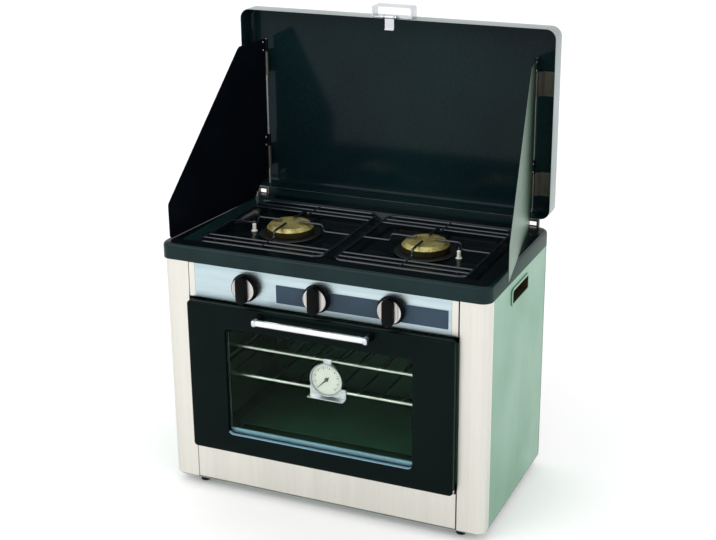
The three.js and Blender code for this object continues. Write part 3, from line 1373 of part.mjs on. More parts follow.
// The latch's cover is a low channel on the lid's front wall, with two ears for the tongue
function latchPlate() {
  const seat = LID_TOP + GAP;
  const half = LATCH_HALF_WIDTH - LATCH_SHEET / 2;
  const top = seat + LATCH_HEIGHT - LATCH_SHEET / 2;
  const front = LID_LIP + LATCH_SET_BACK;
  const bend = folded([[-half, seat], [-half, top], [half, top], [half, seat]], LATCH_SHEET);
  const channel = alongY(bend, front, front + LATCH_DEPTH);
  const base = block(-half, half, front, front + LATCH_DEPTH, seat, seat + LATCH_SHEET);
  const { y, z } = latchAxis();
  const ears = SIDES.flatMap(({ sign }) => {
    const ends = [sign * LATCH_EAR_X, sign * (LATCH_EAR_X + LATCH_EAR)].sort((a, b) => a - b);
    return [
      block(ends[0], ends[1], y, front + LATCH_SHEET, seat, z + LATCH_BARREL_RADIUS),
      barX(LATCH_BARREL_RADIUS, ends[0], ends[1], y, z),
    ];
  });
  const reach = LATCH_EAR_X + LATCH_EAR / 2;
  return join(channel, base, ...ears, barX(LATCH_PIN_RADIUS, -reach, reach, y, z));
}

function latchAxis() {
  return new THREE.Vector3(0, LID_LIP - LATCH_REACH, LID_TOP + GAP + LATCH_BARREL_RADIUS);
}

function latchTongue() {
  const { y, z } = latchAxis();
  const half = TONGUE_WIDTH / 2;
  const strip = alongX(folded([[y, z], [y, z - TONGUE_LENGTH], [y - TONGUE_LIP, z - TONGUE_LENGTH]],
    TONGUE_THICKNESS, BEND), -half, half);
  const barrel = barX(LATCH_BARREL_RADIUS, -half, half, y, z);
  const bore = barX(LATCH_PIN_RADIUS + GAP, -half - OVERRUN, half + OVERRUN, y, z);
  return cut(join(strip, barrel), bore);
}

// A windscreen, drawn straight ahead of its rod: forward along -Y, thin along x. Its two
// knuckles sit on the lid's leaves, with open space below each leaf for the lift.
function windscreen() {
  const start = -SCREEN_KNUCKLE_RADIUS / 2;
  const notch = SCREEN_BOTTOM + SCREEN_NOTCH_RISE;
  const shape = polygon([
    [start, notch], [-SCREEN_NOTCH_NEAR, notch],
    [-SCREEN_NOTCH_FAR, SCREEN_BOTTOM], [-SCREEN_LENGTH, SCREEN_BOTTOM], [-SCREEN_LENGTH, SCREEN_FRONT_TOP],
    [-SCREEN_TOP_LENGTH, SCREEN_TOP], [start, SCREEN_TOP],
  ].reverse());
  const plate = alongX(shape, -SHEET / 2, SHEET / 2);
  const knuckles = LEAF_LEVELS.map((level) => {
    const z = level + LEAF_HEIGHT / 2 + PLAY;
    return barZ(SCREEN_KNUCKLE_RADIUS, z, z + SCREEN_KNUCKLE, 0, 0);
  });
  const bores = barZ(SCREEN_ROD_RADIUS + PLAY, SCREEN_BOTTOM, SCREEN_TOP + OVERRUN, 0, 0);
  const room = SCREEN_KNUCKLE_RADIUS + PLAY;
  const clear = LEAF_LEVELS.map((level) => {
    const low = level - LEAF_HEIGHT / 2 - SCREEN_LIFT - PLAY;
    return block(-room, room, -room, SCREEN_KNUCKLE_RADIUS, low, level + LEAF_HEIGHT / 2 + PLAY);
  });
  return cut(join(plate, ...knuckles), bores, ...clear);
}

function screenRod() {
  const low = LID_BOTTOM + SHEET + PLAY;
  return barZ(SCREEN_ROD_RADIUS, low, SCREEN_TOP, 0, 0);
}

function buildLid(root) {
  const lid = addBody(root, LID_AXIS);
  addPiece(lid, 'lid_shell', lidShell(), FINISH.enamel);
  addPiece(lid, 'latch_plate', latchPlate(), FINISH.chrome);
  const tongueBody = addBody(lid, latchAxis());
  addPiece(tongueBody, 'latch_tongue', latchTongue(), FINISH.chrome);
  for (const { name, sign } of SIDES) {
    addPiece(root, `lid_hinge_${name}`, lidHinge(sign), FINISH.chrome);
    const place = new THREE.Vector3(sign * SCREEN_X, screenRodY(name), 0);
    const rodBody = addBody(lid, place);
    const rod = new THREE.Mesh(screenRod(), FINISH.chrome);
    rod.name = `windscreen_rod_${name}`;
    rodBody.add(rod);
    const screenBody = addBody(rodBody, place);
    const screen = new THREE.Mesh(windscreen(), FINISH.screen);
    screen.name = `windscreen_${name}`;
    screenBody.add(screen);
    screenBody.rotation.z = sign * SPLAY_ANGLE[name];
  }
}

// The stove stands with the middle of its box on the origin

function middle() {
  const half = SHEET / 2;
  const reach = (name) => {
    const splay = SPLAY_ANGLE[name];
    return SCREEN_X + SCREEN_LENGTH * Math.sin(splay) + half * Math.cos(splay);
  };
  const right = Math.max(reach('right'), LID_HALF_WIDTH);
  const left = Math.max(reach('left'), LID_HALF_WIDTH);
  const front = DOOR_FRONT - HANDLE_STAND_OFF - HANDLE_END_RADIUS;
  return { x: (right - left) / 2, y: (front + LID_PANEL) / 2 };
}

const group = new THREE.Group();
const stove = addBody(group);
stove.position.set(-middle().x, -middle().y, FOOT_HEIGHT);

buildCabinet(stove);
buildGasTrain(stove);
buildKnobs(stove);
buildThermometer(buildOven(stove));
buildDoor(stove);
buildHob(stove);
buildLid(stove);

export default group;
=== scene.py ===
import logging
import math
from dataclasses import dataclass, field
from enum import Enum
from typing import Any, Callable, Iterable, Sequence

import bmesh
import bpy
import numpy as np
from mathutils import Matrix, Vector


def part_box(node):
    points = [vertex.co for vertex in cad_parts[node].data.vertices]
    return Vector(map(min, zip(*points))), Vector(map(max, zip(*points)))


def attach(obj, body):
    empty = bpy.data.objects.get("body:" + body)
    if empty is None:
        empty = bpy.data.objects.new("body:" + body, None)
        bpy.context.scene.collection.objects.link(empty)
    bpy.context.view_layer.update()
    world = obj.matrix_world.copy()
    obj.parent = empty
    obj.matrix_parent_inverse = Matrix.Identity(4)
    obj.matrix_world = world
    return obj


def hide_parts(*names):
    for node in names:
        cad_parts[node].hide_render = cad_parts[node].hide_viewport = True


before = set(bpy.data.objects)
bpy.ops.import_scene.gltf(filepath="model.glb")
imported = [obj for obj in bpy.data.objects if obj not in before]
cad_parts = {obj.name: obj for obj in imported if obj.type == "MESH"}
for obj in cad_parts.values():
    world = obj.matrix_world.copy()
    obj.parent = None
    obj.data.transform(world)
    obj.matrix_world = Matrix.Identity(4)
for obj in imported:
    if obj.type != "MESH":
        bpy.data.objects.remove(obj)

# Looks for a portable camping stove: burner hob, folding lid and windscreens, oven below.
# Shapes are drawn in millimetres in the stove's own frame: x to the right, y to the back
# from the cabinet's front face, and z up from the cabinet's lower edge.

logging.basicConfig(level=logging.INFO, format="%(name)s: %(message)s")
log = logging.getLogger("stove")

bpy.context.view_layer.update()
MM = 0.001
PHOTO_WIDTH = 716
HALF_SHEET = 0.5  # half of the sheet metal's thickness
FLANGE = 12.0  # how far back a front panel's flanges reach
PAN_CORNER = 16.0  # the tray and the lid are pressed to the same corner
SAME_POINT_M = 2e-6  # points closer than this, in metres, become one
BEVEL_FROM = 40.0  # a bevel eases edges bent by more than this many degrees
ROUND = 96  # points round the knobs, the thermometer and the burner bowls
Points = np.ndarray
Row = Sequence[float]
Rows = Sequence[Row] | Points
Choice = Callable[[Points, Points], Points]


class Side(Enum):
    """The two sides of the stove, with the sign of x on each."""

    LEFT = -1
    RIGHT = 1

    @property
    def label(self) -> str:
        """The side's name as the nodes spell it."""
        return self.name.lower()


class Grain(Enum):
    """How far a brushed or drawn pattern is stretched along x, y and z."""

    ACROSS = (0.012, 1.0, 1.0)
    UPRIGHT = (1.0, 1.0, 0.012)
    NONE = (1.0, 1.0, 1.0)


def stove_origin() -> Points:
    """Finds the middle of the cabinet's lower front edge.

    Returns:
        Its place in the shared frame, in metres.
    """
    low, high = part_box("base_pan")
    return np.array([(low[0] + high[0]) / 2, low[1], low[2]])


ORIGIN = stove_origin()


# Surfaces

@dataclass
class Surface:
    """Points in millimetres and the faces between them.

    Args:
        points: An array of n points.
        faces: Arrays of face corners, one array for each count of corners.
    """

    points: Points
    faces: list[Points]

    def moved(self, x: float = 0, y: float = 0, z: float = 0) -> "Surface":
        """A copy shifted by x, y and z."""
        return Surface(self.points + np.array([x, y, z]), self.faces)

    def mapped(self, matrix: Rows) -> "Surface":
        """A copy with each point multiplied by a 3 by 3 matrix."""
        return Surface(self.points @ np.array(matrix, float).T, self.faces)

    def mirrored(self) -> "Surface":
        """A copy on the other side of the middle plane, with its faces turned to suit."""
        flipped = [faces[:, ::-1] for faces in self.faces]
        return Surface(self.points * np.array([-1, 1, 1]), flipped)

    def on(self, side: Side) -> "Surface":
        """The surface drawn for the right, moved to one side."""
        return self if side is Side.RIGHT else self.mirrored()


def combine(*surfaces: Surface) -> Surface:
    """Puts several surfaces into one.

    Args:
        surfaces: The surfaces, each left as its own shell.

    Returns:
        One surface that holds all their faces.
    """
    starts = np.cumsum([0] + [len(s.points) for s in surfaces[:-1]])
    faces = [f + start for s, start in zip(surfaces, starts) for f in s.faces]
    return Surface(np.concatenate([s.points for s in surfaces]), faces)


def grid(points: Points, around: bool = False, along: bool = False, caps: bool = False) -> Surface:
    """Joins a grid of points with quads: row i to row i + 1, column j to column j + 1.

    Args:
        points: An array of rows by columns by 3.
        around: Joins the last column to the first.
        along: Joins the last row to the first.
        caps: Closes the first and last rows with a flat face each.

    Returns:
        The surface.
    """
    rows, columns = points.shape[:2]
    index = np.arange(rows * columns).reshape(rows, columns)
    first, last = index[0], index[-1]
    if around:
        index = np.concatenate([index, index[:, :1]], axis=1)
    if along:
        index = np.concatenate([index, index[:1]], axis=0)
    quads = np.stack([index[:-1, :-1], index[:-1, 1:], index[1:, 1:], index[1:, :-1]], axis=-1)
    faces = [quads.reshape(-1, 4)]
    if caps:
        faces += [first[::-1][None], last[None]]
    return Surface(points.reshape(-1, 3), faces)


def place(u: Points, v: Points, w: Points | float, plane: str) -> Points:
    """Stacks coordinates: u and v lie in the named plane, w on the axis square to it."""
    u, v, w = np.broadcast_arrays(np.asarray(u, float), np.asarray(v, float), np.asarray(w, float))
    order = {"xy": (u, v, w), "xz": (u, w, v), "yz": (w, u, v)}[plane]
    return np.stack(order, axis=-1)


def fillet(points: Rows, radius: float | Row, steps: int = 8) -> Points:
    """Rounds the corners of a line: each corner is replaced by an arc tangent to both runs.

    Args:
        points: The corners of the line.
        radius: One radius for all corners, or one for each inner corner.
        steps: Stretches in each arc.

    Returns:
        The points of the rounded line.
    """
    corners = np.array(points, float)
    radii = np.broadcast_to(radius, (len(corners) - 2,))
    knots = [corners[:1]]
    share = np.linspace(0, 1, steps + 1)[:, None]
    for before, corner, after, r in zip(corners, corners[1:], corners[2:], radii):
        back, ahead = before - corner, after - corner
        lengths = np.linalg.norm(back), np.linalg.norm(ahead)
        back, ahead = back / lengths[0], ahead / lengths[1]
        half = math.acos(np.clip(back @ ahead, -1, 1)) / 2
        reach = min(r / math.tan(half), lengths[0] * 0.5, lengths[1] * 0.5)
        centre = corner + (back + ahead) / np.linalg.norm(back + ahead) * reach / math.cos(half)
        start, end = corner + back * reach - centre, corner + ahead * reach - centre
        turn = math.pi - 2 * half
        arc = (np.sin((1 - share) * turn) * start + np.sin(share * turn) * end) / math.sin(turn)
        knots.append(centre + arc)
    knots.append(corners[-1:])
    return np.concatenate(knots)


def normals_2d(line: Points) -> tuple[Points, Points]:
    """Left-hand normals of a flat line: each is square to the mean of the runs it joins.

    Args:
        line: Points of the line.

    Returns:
        The normals, and how far each must be stretched to keep both runs' offsets even.
    """
    into = np.diff(line, axis=0, prepend=line[:1] - (line[1:2] - line[:1]))
    out = np.diff(line, axis=0, append=line[-1:] + (line[-1:] - line[-2:-1]))
    into = into / np.linalg.norm(into, axis=1, keepdims=True)
    out = out / np.linalg.norm(out, axis=1, keepdims=True)
    along = into + out
    along /= np.linalg.norm(along, axis=1, keepdims=True)
    mitre = np.sum(along * out, axis=1, keepdims=True)
    return np.stack([-along[:, 1], along[:, 0]], axis=1), 1 / mitre


def prism(outline: Points, start: float, end: float, plane: str) -> Surface:
    """Carries a closed outline along the axis square to its plane, and closes both ends.

    Args:
        outline: Points of the outline.
        start: Where the solid starts on that axis.
        end: Where it ends.
        plane: The outline's plane.

    Returns:
        The closed surface.
    """
    span = np.array([start, end])[:, None]
    return grid(place(outline[None, :, 0], outline[None, :, 1], span, plane), around=True, caps=True)


def bent_sheet(line: Points, start: float, end: float, plane: str, thickness: float = 1.0) -> Surface:
    """Bent sheet metal: quads along the bend line's outline, with its two ends closed by quads.

    Args:
        line: The flat middle line of the sheet.
        start: Where the sheet starts on the axis square to the line's plane.
        end: Where it ends.
        plane: The plane that the line lies in.
        thickness: The sheet's thickness.

    Returns:
        The closed surface.
    """
    normal, stretch = normals_2d(line)
    offset = normal * stretch * thickness / 2
    one, two = line + offset, line - offset
    loop = np.stack([
        place(one[:, 0], one[:, 1], start, plane), place(one[:, 0], one[:, 1], end, plane),
        place(two[:, 0], two[:, 1], end, plane), place(two[:, 0], two[:, 1], start, plane),
    ], axis=1)
    return grid(loop, around=True, caps=True)


def flanged(low: float, high: float, radius: float, steps: int) -> Points:
    """Middle line of a front panel's sheet: a face, with a flange turned back at its foot and head."""
    return fillet([[FLANGE, low], [HALF_SHEET, low], [HALF_SHEET, high], [FLANGE, high]], radius, steps)


def rounded_box_outline(u0: float, u1: float, v0: float, v1: float, radius: float, steps: int = 8) -> Points:
    """A rounded rectangle's outline: four quarter arcs about the corner centres, anticlockwise.

    Args:
        u0: Low end along the first axis.
        u1: High end along it.
        v0: Low end along the second axis.
        v1: High end along it.
        radius: The corners' radius, held to half of the shorter side.
        steps: Stretches in each arc.

    Returns:
        The outline's points.
    """
    r = max(min(radius, (u1 - u0) / 2, (v1 - v0) / 2), 0.01)
    angle = (np.arange(4)[:, None] + np.linspace(0, 1, steps + 1)[None]) * math.pi / 2
    centre_u = np.array([u1 - r, u0 + r, u0 + r, u1 - r])[:, None]
    centre_v = np.array([v1 - r, v1 - r, v0 + r, v0 + r])[:, None]
    return np.stack([centre_u + r * np.cos(angle), centre_v + r * np.sin(angle)], axis=-1).reshape(-1, 2)


def loft(rings: Sequence[Points], caps: bool = True) -> Surface:
    """Joins closed rings of the same count of points, and closes the first and last if asked."""
    return grid(np.stack(rings), around=True, caps=caps)


def frame_ring(rings: Sequence[Points]) -> Surface:
    """Joins closed rings to one another and the last back to the first, as round a window."""
    return grid(np.stack(rings), around=True, along=True)


def tube(path: Points, radius: float | Points, up: Row, sides: int = 16, closed: bool = False) -> Surface:
    """Carries a circle along a path that lies in a plane.

    Each ring stands square to the mean of the runs before and after its point.

    Args:
        path: Points of the path.
        radius: The circle's radius, or one for each point.
        up: The normal of the path's plane.
        sides: Points round the circle.
        closed: Joins the path's end to its start.

    Returns:
        The surface, closed at its ends.
    """
    if closed:
        into, out = path - np.roll(path, 1, axis=0), np.roll(path, -1, axis=0) - path
    else:
        into = np.diff(path, axis=0, prepend=path[:1] * 2 - path[1:2])
        out = np.diff(path, axis=0, append=path[-1:] * 2 - path[-2:-1])
    tangent = into / np.linalg.norm(into, axis=1, keepdims=True)
    tangent = tangent + out / np.linalg.norm(out, axis=1, keepdims=True)
    tangent /= np.linalg.norm(tangent, axis=1, keepdims=True)
    side = np.cross(np.array(up, float), tangent)
    side /= np.linalg.norm(side, axis=1, keepdims=True)
    above = np.cross(tangent, side)
    angle = np.linspace(0, 2 * math.pi, sides, endpoint=False)[None, :, None]
    reach = np.broadcast_to(radius, (len(path),))[:, None, None]
    rings = path[:, None] + reach * (np.cos(angle) * side[:, None] + np.sin(angle) * above[:, None])
    return grid(rings, around=True, along=closed, caps=not closed)


def bar(start: Row, end: Row, radius: float, edge: float = 0.3, sides: int = 24) -> Surface:
    """A straight round bar with its end edges eased by a small chamfer.

    Args:
        start: The middle of one end.
        end: The middle of the other.
        radius: The bar's radius.
        edge: Width of the chamfer.
        sides: Points round the bar.

    Returns:
        The closed surface.
    """
    one, two = np.array(start, float), np.array(end, float)
    along = (two - one) / np.linalg.norm(two - one)
    up = [0, 0, 1] if abs(along[2]) < 0.9 else [1, 0, 0]
    path = np.stack([one, one + along * edge, two - along * edge, two])
    return tube(path, np.array([radius - edge, radius, radius, radius - edge]), up, sides)


def turned(profile: Rows, centre: Row, axis: str = "z", sides: int = 72, ease: float | Row = 0.3,
           steps: int = 3) -> Surface:
    """Turns an eased profile about an axis: point = centre + radius round the axis + height along it.

    Args:
        profile: Rows of radius and height, from low to high on the outside.
        centre: Where height zero lies.
        axis: y or z. Heights run along its positive side.
        sides: Points round the axis.
        ease: Radius of the profile's corners, one for all or one for each.
        steps: Stretches in each corner.

    Returns:
        The surface, closed where the profile meets the axis.
    """
    shape = fillet(profile, ease, steps)
    angle = np.linspace(0, 2 * math.pi, sides, endpoint=False)[None]
    radius, height = shape[:, :1], shape[:, 1:]
    one, two = radius * np.cos(angle), radius * np.sin(angle)
    lift = np.broadcast_to(height, one.shape)
    order = {"z": (one, two, lift), "y": (two, lift, one)}[axis]
    return grid(np.stack(order, axis=-1) + np.array(centre, float), around=True)


def inset_rings(box: Row, radius: float | Row, rows: Rows, plane: str, steps: int = 8) -> list[Points]:
    """Rings of a rounded rectangle, each drawn in from the box's edges and set at its own height.

    Args:
        box: Low and high ends along the plane's first axis, then along its second.
        radius: Radius of the corners, one for all rings or one for each.
        rows: Inset and height, one row for each ring.
        plane: The plane that the rings lie in.
        steps: Stretches in each corner.

    Returns:
        The rings.
    """
    u0, u1, v0, v1 = box
    radii = np.broadcast_to(radius, len(rows))
    return [place(*rounded_box_outline(u0 + i, u1 - i, v0 + i, v1 - i, r, steps).T, h, plane)
            for (i, h), r in zip(rows, radii)]


def rivet_heads(profile: Rows, tip: Rows, places: Rows, sides: int = 24) -> list[Surface]:
    """Rivet heads: one turned profile, tipped over by a matrix, set at each of the places."""
    head = turned(profile, [0, 0, 0], "z", sides).mapped(tip)
    return [head.moved(*place_mm) for place_mm in places]


def block(x: Row, y: Row, z: Row, radius: float = 0.5) -> Surface:
    """A box with its four edges along z rounded and its top and bottom edges eased.

    Rings of a rounded rectangle are stacked in z, drawn in by the radius at both ends.

    Args:
        x: Low and high ends along x.
        y: The same along y.
        z: The same along z.
        radius: The edges' radius.

    Returns:
        The closed surface.
    """
    slight, tall = radius * 0.3, z[1] - z[0]
    rise = np.array([0, slight, radius, tall - radius, tall - slight, tall]) + z[0]
    inset = [radius, slight, 0, 0, slight, radius]
    return loft(inset_rings([*x, *y], radius, list(zip(inset, rise)), "xy", 4))


def pan_rings(half_x: float, half_y: float, profile: Points, steps: int = 8) -> list[Points]:
    """Rings of a pressed pan, whose corner radius shrinks as its outline is drawn in.

    Args:
        half_x: Half of the pan's width.
        half_y: Half of its depth.
        profile: Rows of inset and height, one for each ring.
        steps: Stretches in each corner.

    Returns:
        The rings.
    """
    radii = np.maximum(PAN_CORNER - profile[:, 0], 1.0)
    return inset_rings([-half_x, half_x, -half_y, half_y], radii, profile, "xy", steps)


def hole_patch(outline: Points, centre: Row, radii: Row, heights: Row) -> Surface:
    """A flat sheet from an outline in to a round hole.

    Each circle point lies on the straight line from the hole's centre to an outline point.

    Args:
        outline: Points of the outline, in order, with their heights.
        centre: The hole's centre, x and y.
        radii: Circles from the outermost in to the hole.
        heights: The height of each circle.

    Returns:
        The open surface.
    """
    flat = outline[:, :2] - np.array(centre)
    unit = flat / np.linalg.norm(flat, axis=1, keepdims=True)
    rings = [outline] + [np.concatenate([np.array(centre) + unit * r, np.full((len(unit), 1), h)], axis=1)
                         for r, h in zip(radii, heights)]
    return grid(np.stack(rings), around=True)


# Materials

def linear(colour: str, alpha: float = 1.0) -> tuple[float, float, float, float]:
    """Turns an sRGB hex colour to linear values."""
    parts = [int(colour[i:i + 2], 16) / 255 for i in (0, 2, 4)]
    parts = [c / 12.92 if c <= 0.04045 else ((c + 0.055) / 1.055) ** 2.4 for c in parts]
    return parts[0], parts[1], parts[2], alpha


def add_node(tree: bpy.types.NodeTree, kind: str, inputs: dict[Any, Any] | None = None,
             **settings: Any) -> bpy.types.Node:
    """Adds a node with its settings, and fills or links its inputs.

    Args:
        tree: The node tree.
        kind: The node's type.
        inputs: Input name or number to a value, or to the socket that feeds it.
        settings: Properties of the node.

    Returns:
        The node.
    """
    node = tree.nodes.new(kind)
    for name, value in settings.items():
        setattr(node, name, value)
    for name, value in (inputs or {}).items():
        if isinstance(value, bpy.types.NodeSocket):
            tree.links.new(value, node.inputs[name])
        else:
            node.inputs[name].default_value = value
    return node


@dataclass(frozen=True)
class Finish:
    """A surface finish: a base colour and shine, with its own fine pattern.

    Args:
        name: Name of the real material and how its surface was made, and of any painted light or shade it
            carries.
        colour: Base colour as sRGB hex.
        second: The colour that the pattern wanders to.
        roughness: Mean roughness.
        spread: How far the roughness wanders.
        metallic: 1 for bare metal, else 0.
        grain_mm: Size of the fine pattern.
        grain: How the fine pattern is stretched.
        relief_mm: Height of the fine pattern's bump.
        cloud_mm: Size of the broad cloud: unevenness on most finishes, painted reflection on the lid's enamel
            and the front steel.
        cloud: How the broad unevenness is stretched.
        coat: Weight of a clear coat.
        specular: How strongly a finish that isn't metal mirrors, 0.5 for a plain gloss.
        ior: Index of refraction of a finish that isn't metal.
    """

    name: str
    colour: str
    second: str
    roughness: float
    spread: float = 0.06
    metallic: float = 0.0
    grain_mm: float = 1.0
    grain: Grain = Grain.NONE
    relief_mm: float = 0.01
    cloud_mm: float = 90.0
    coat: float = 0.0
    specular: float = 0.5
    ior: float = 1.5
    cloud: Grain = Grain.NONE

    def build(self) -> bpy.types.Material:
        """Makes the material once, and hands out the same one after that.

        Returns:
            The material.
        """
        if self.name in bpy.data.materials:
            return bpy.data.materials[self.name]
        material = bpy.data.materials.new(self.name)
        material.use_nodes = True
        tree = material.node_tree
        tree.nodes.clear()
        shader = add_node(tree, "ShaderNodeBsdfPrincipled", {
            "Metallic": self.metallic, "IOR": self.ior, "Specular IOR Level": self.specular,
            "Coat Weight": self.coat, "Coat Roughness": 0.06})
        add_node(tree, "ShaderNodeOutputMaterial", {"Surface": shader.outputs[0]})
        self.dress(tree, shader)
        return material

    def dress(self, tree: bpy.types.NodeTree, shader: bpy.types.Node) -> None:
        """Feeds colour, roughness and relief from a fine grain and a broad cloud of noise.

        Args:
            tree: The material's node tree.
            shader: Its principled shader.
        """
        where = add_node(tree, "ShaderNodeTexCoord").outputs["Object"]
        stretched = add_node(tree, "ShaderNodeMapping", {"Vector": where, "Scale": self.grain.value})
        fine = add_node(tree, "ShaderNodeTexNoise", {
            "Vector": stretched.outputs[0], "Scale": 1 / (self.grain_mm * MM), "Detail": 3.0,
            "Roughness": 0.6})
        drawn = add_node(tree, "ShaderNodeMapping", {"Vector": where, "Scale": self.cloud.value})
        broad = add_node(tree, "ShaderNodeTexNoise", {
            "Vector": drawn.outputs[0], "Scale": 1 / (self.cloud_mm * MM), "Detail": 2.0})
        both = add_node(tree, "ShaderNodeMath", {0: fine.outputs["Fac"], 1: broad.outputs["Fac"]},
                        operation="ADD")
        mix = add_node(tree, "ShaderNodeMapRange", {
            "Value": both.outputs[0], "From Min": 0.7, "From Max": 1.3, "To Min": 0.0, "To Max": 1.0})
        colour = self.blend(tree, mix.outputs[0])
        rough = add_node(tree, "ShaderNodeMapRange", {
            "Value": both.outputs[0], "From Min": 0.6, "From Max": 1.4,
            "To Min": max(self.roughness - self.spread, 0.02), "To Max": self.roughness + self.spread})
        bump = add_node(tree, "ShaderNodeBump", {
            "Strength": 1.0, "Distance": self.relief_mm * MM, "Height": fine.outputs["Fac"]})
        tree.links.new(colour, shader.inputs["Base Color"])
        tree.links.new(rough.outputs[0], shader.inputs["Roughness"])
        tree.links.new(bump.outputs[0], shader.inputs["Normal"])

    def blend(self, tree: bpy.types.NodeTree, share: bpy.types.NodeSocket) -> bpy.types.NodeSocket:
        """Mixes the two colours by a share from 0 to 1, and returns the colour's socket."""
        ramp = add_node(tree, "ShaderNodeValToRGB", {"Fac": share})
        ramp.color_ramp.elements[0].color = linear(self.colour)
        ramp.color_ramp.elements[1].color = linear(self.second)
        return ramp.outputs["Color"]


@dataclass(frozen=True)
class ClearGlass(Finish):
    """Tempered glass: a polished clear sheet, with light let through for the oven behind it."""

    def dress(self, tree: bpy.types.NodeTree, shader: bpy.types.Node) -> None:
        """Sets the transmission, and lets shadow rays straight through, tinted.

        Args:
            tree: The material's node tree.
            shader: Its principled shader.
        """
        shader.inputs["Base Color"].default_value = linear(self.colour)
        shader.inputs["Roughness"].default_value = self.roughness
        shader.inputs["Transmission Weight"].default_value = 1.0
        clear = add_node(tree, "ShaderNodeBsdfTransparent", {"Color": linear(self.second)})
        ray = add_node(tree, "ShaderNodeLightPath")
        mixed = add_node(tree, "ShaderNodeMixShader", {
            0: ray.outputs["Is Shadow Ray"], 1: shader.outputs[0], 2: clear.outputs[0]})
        output = next(n for n in tree.nodes if n.type == "OUTPUT_MATERIAL")
        tree.links.new(mixed.outputs[0], output.inputs["Surface"])


# Steel sheet brushed upright: warm, with soft bands of light that run up the posts.
FRONT_STEEL = Finish("brushed_steel_warm", "E0DED6", "D4D2CA", roughness=0.36, spread=0.05, metallic=1,
    grain_mm=0.5, grain=Grain.UPRIGHT, relief_mm=0.004, cloud_mm=16, cloud=Grain.UPRIGHT)
# Steel sheet brushed upright: gives back a pale green, clouded like the side in the photo.
SIDE_STEEL = Finish("brushed_steel_green", "90B5A2", "79A389", roughness=0.34, spread=0.07, metallic=1,
    grain_mm=0.5, grain=Grain.UPRIGHT, relief_mm=0.004, cloud_mm=130)
# Steel sheet brushed along: cool and bright, with long level streaks behind the knobs.
PANEL_STEEL = Finish("brushed_steel_cool", "C6D8DB", "A9BCC4", roughness=0.38, metallic=1, grain_mm=0.5,
    grain=Grain.ACROSS, relief_mm=0.004, cloud_mm=14, cloud=Grain.ACROSS)
# Galvanised sheet: dull grey with a faint spangle.
BACK_STEEL = Finish("galvanised_steel", "B4BCB6", "9DA6A1", roughness=0.45, spread=0.1, metallic=1,
    grain_mm=3, cloud_mm=60)
# Printed film: even, slightly glossy slate ink.
LABEL_FILM = Finish("printed_film", "3A4B5B", "31404D", roughness=0.35, spread=0.04, grain_mm=0.6,
    relief_mm=0.002, cloud_mm=50, specular=0.12)
# Enamel, sprayed and fired: dark green apron. Its bend keeps this colour between faces painted near black, a
# painted highlight.
# Its mirror is kept weak here and below, because in the photo it gives back a dark room.
TRAY_ENAMEL = Finish("fired_enamel_tray", "152C2D", "0E1F22", roughness=0.2, spread=0.05, grain_mm=2.2,
    relief_mm=0.03, cloud_mm=70, specular=0.14)
# The same enamel on the apron's two sides, painted lighter and greener: painted light, with the weakest
# mirror.
TRAY_SIDE_LIT_ENAMEL = Finish("fired_enamel_tray_side", "1B3D35", "15312A", roughness=0.2, spread=0.05,
    grain_mm=2.2, relief_mm=0.03, cloud_mm=70, specular=0.03)
# The same enamel painted near black on every upward face, rim and well alike: painted shade, wet-looking and
# almost without colour.
UPWARD_SHADE_ENAMEL = Finish("fired_enamel_well", "0A1214", "060B0E", roughness=0.16, spread=0.05, grain_mm=2.2,
    relief_mm=0.03, cloud_mm=70, specular=0.1)
# Enamel inside the lid: deep teal, smooth enough to show the hob in it. Its broad cloud from teal to navy is
# a painted reflection of the studio.
LID_ENAMEL_AND_REFLECTION = Finish("fired_enamel_lid", "112829", "08141B", roughness=0.1, spread=0.04, grain_mm=2.6,
    relief_mm=0.02, cloud_mm=240, specular=0.1)
# Metallic paint outside the lid: pale grey, satin.
LID_OUTER = Finish("painted_steel_lid_outer", "AEB7B7", "9AA3A3", roughness=0.35, metallic=0.9,
    grain_mm=1.4, relief_mm=0.006)
# Satin black paint on the windscreens' inner faces: hardly any shine.
SCREEN_PAINT = Finish("painted_steel_windscreen", "090D13", "05080D", roughness=0.28, grain_mm=1.2,
    cloud_mm=80, specular=0.05)
# Bare brushed steel on their outer faces: grey green.
SCREEN_OUTER = Finish("brushed_steel_windscreen", "6E8A79", "5F7A68", roughness=0.4, metallic=1,
    grain_mm=0.5, grain=Grain.UPRIGHT, relief_mm=0.004, cloud_mm=120)
# Blackened steel of hinges and leaves: brownish, with worn patches.
LEAF_STEEL = Finish("blackened_steel", "6A665E", "57534C", roughness=0.42, spread=0.08, metallic=0.8,
    grain_mm=1.6, relief_mm=0.02, cloud_mm=30)
# Gloss paint on the door: near black with a drop of teal.
DOOR_PAINT = Finish("gloss_paint_door", "0A1715", "060F0F", roughness=0.16, spread=0.04, grain_mm=2.4,
    relief_mm=0.012, cloud_mm=140, specular=0.04)
# Enamel of the oven's lining: dark green, softly lit.
OVEN_ENAMEL = Finish("fired_enamel_oven", "335E4A", "284B39", roughness=0.35, spread=0.08, grain_mm=2,
    relief_mm=0.03, cloud_mm=70, specular=0.2)
# Glass seal: a thin green line up each side of the window.
EDGE_GREEN = Finish("glass_seal", "2C4A3B", "233D31", roughness=0.5, cloud_mm=30, specular=0.2)
# Light blue with a faint metal shine: the band along the window's foot, a painted reflection of light on the
# lip's upward faces.
SILL_REFLECTION = Finish("sill_band_painted_reflection", "86AEC0", "769EB0", roughness=0.3, spread=0.05, metallic=0.3,
    grain_mm=0.6, grain=Grain.ACROSS, relief_mm=0.004, cloud_mm=60)
# Dipped aluminium on steel: dull silver with a soft spangle.
ALUMINISED = Finish("aluminised_steel", "8E9492", "7D8381", roughness=0.45, spread=0.08, metallic=1,
    grain_mm=4, cloud_mm=50)
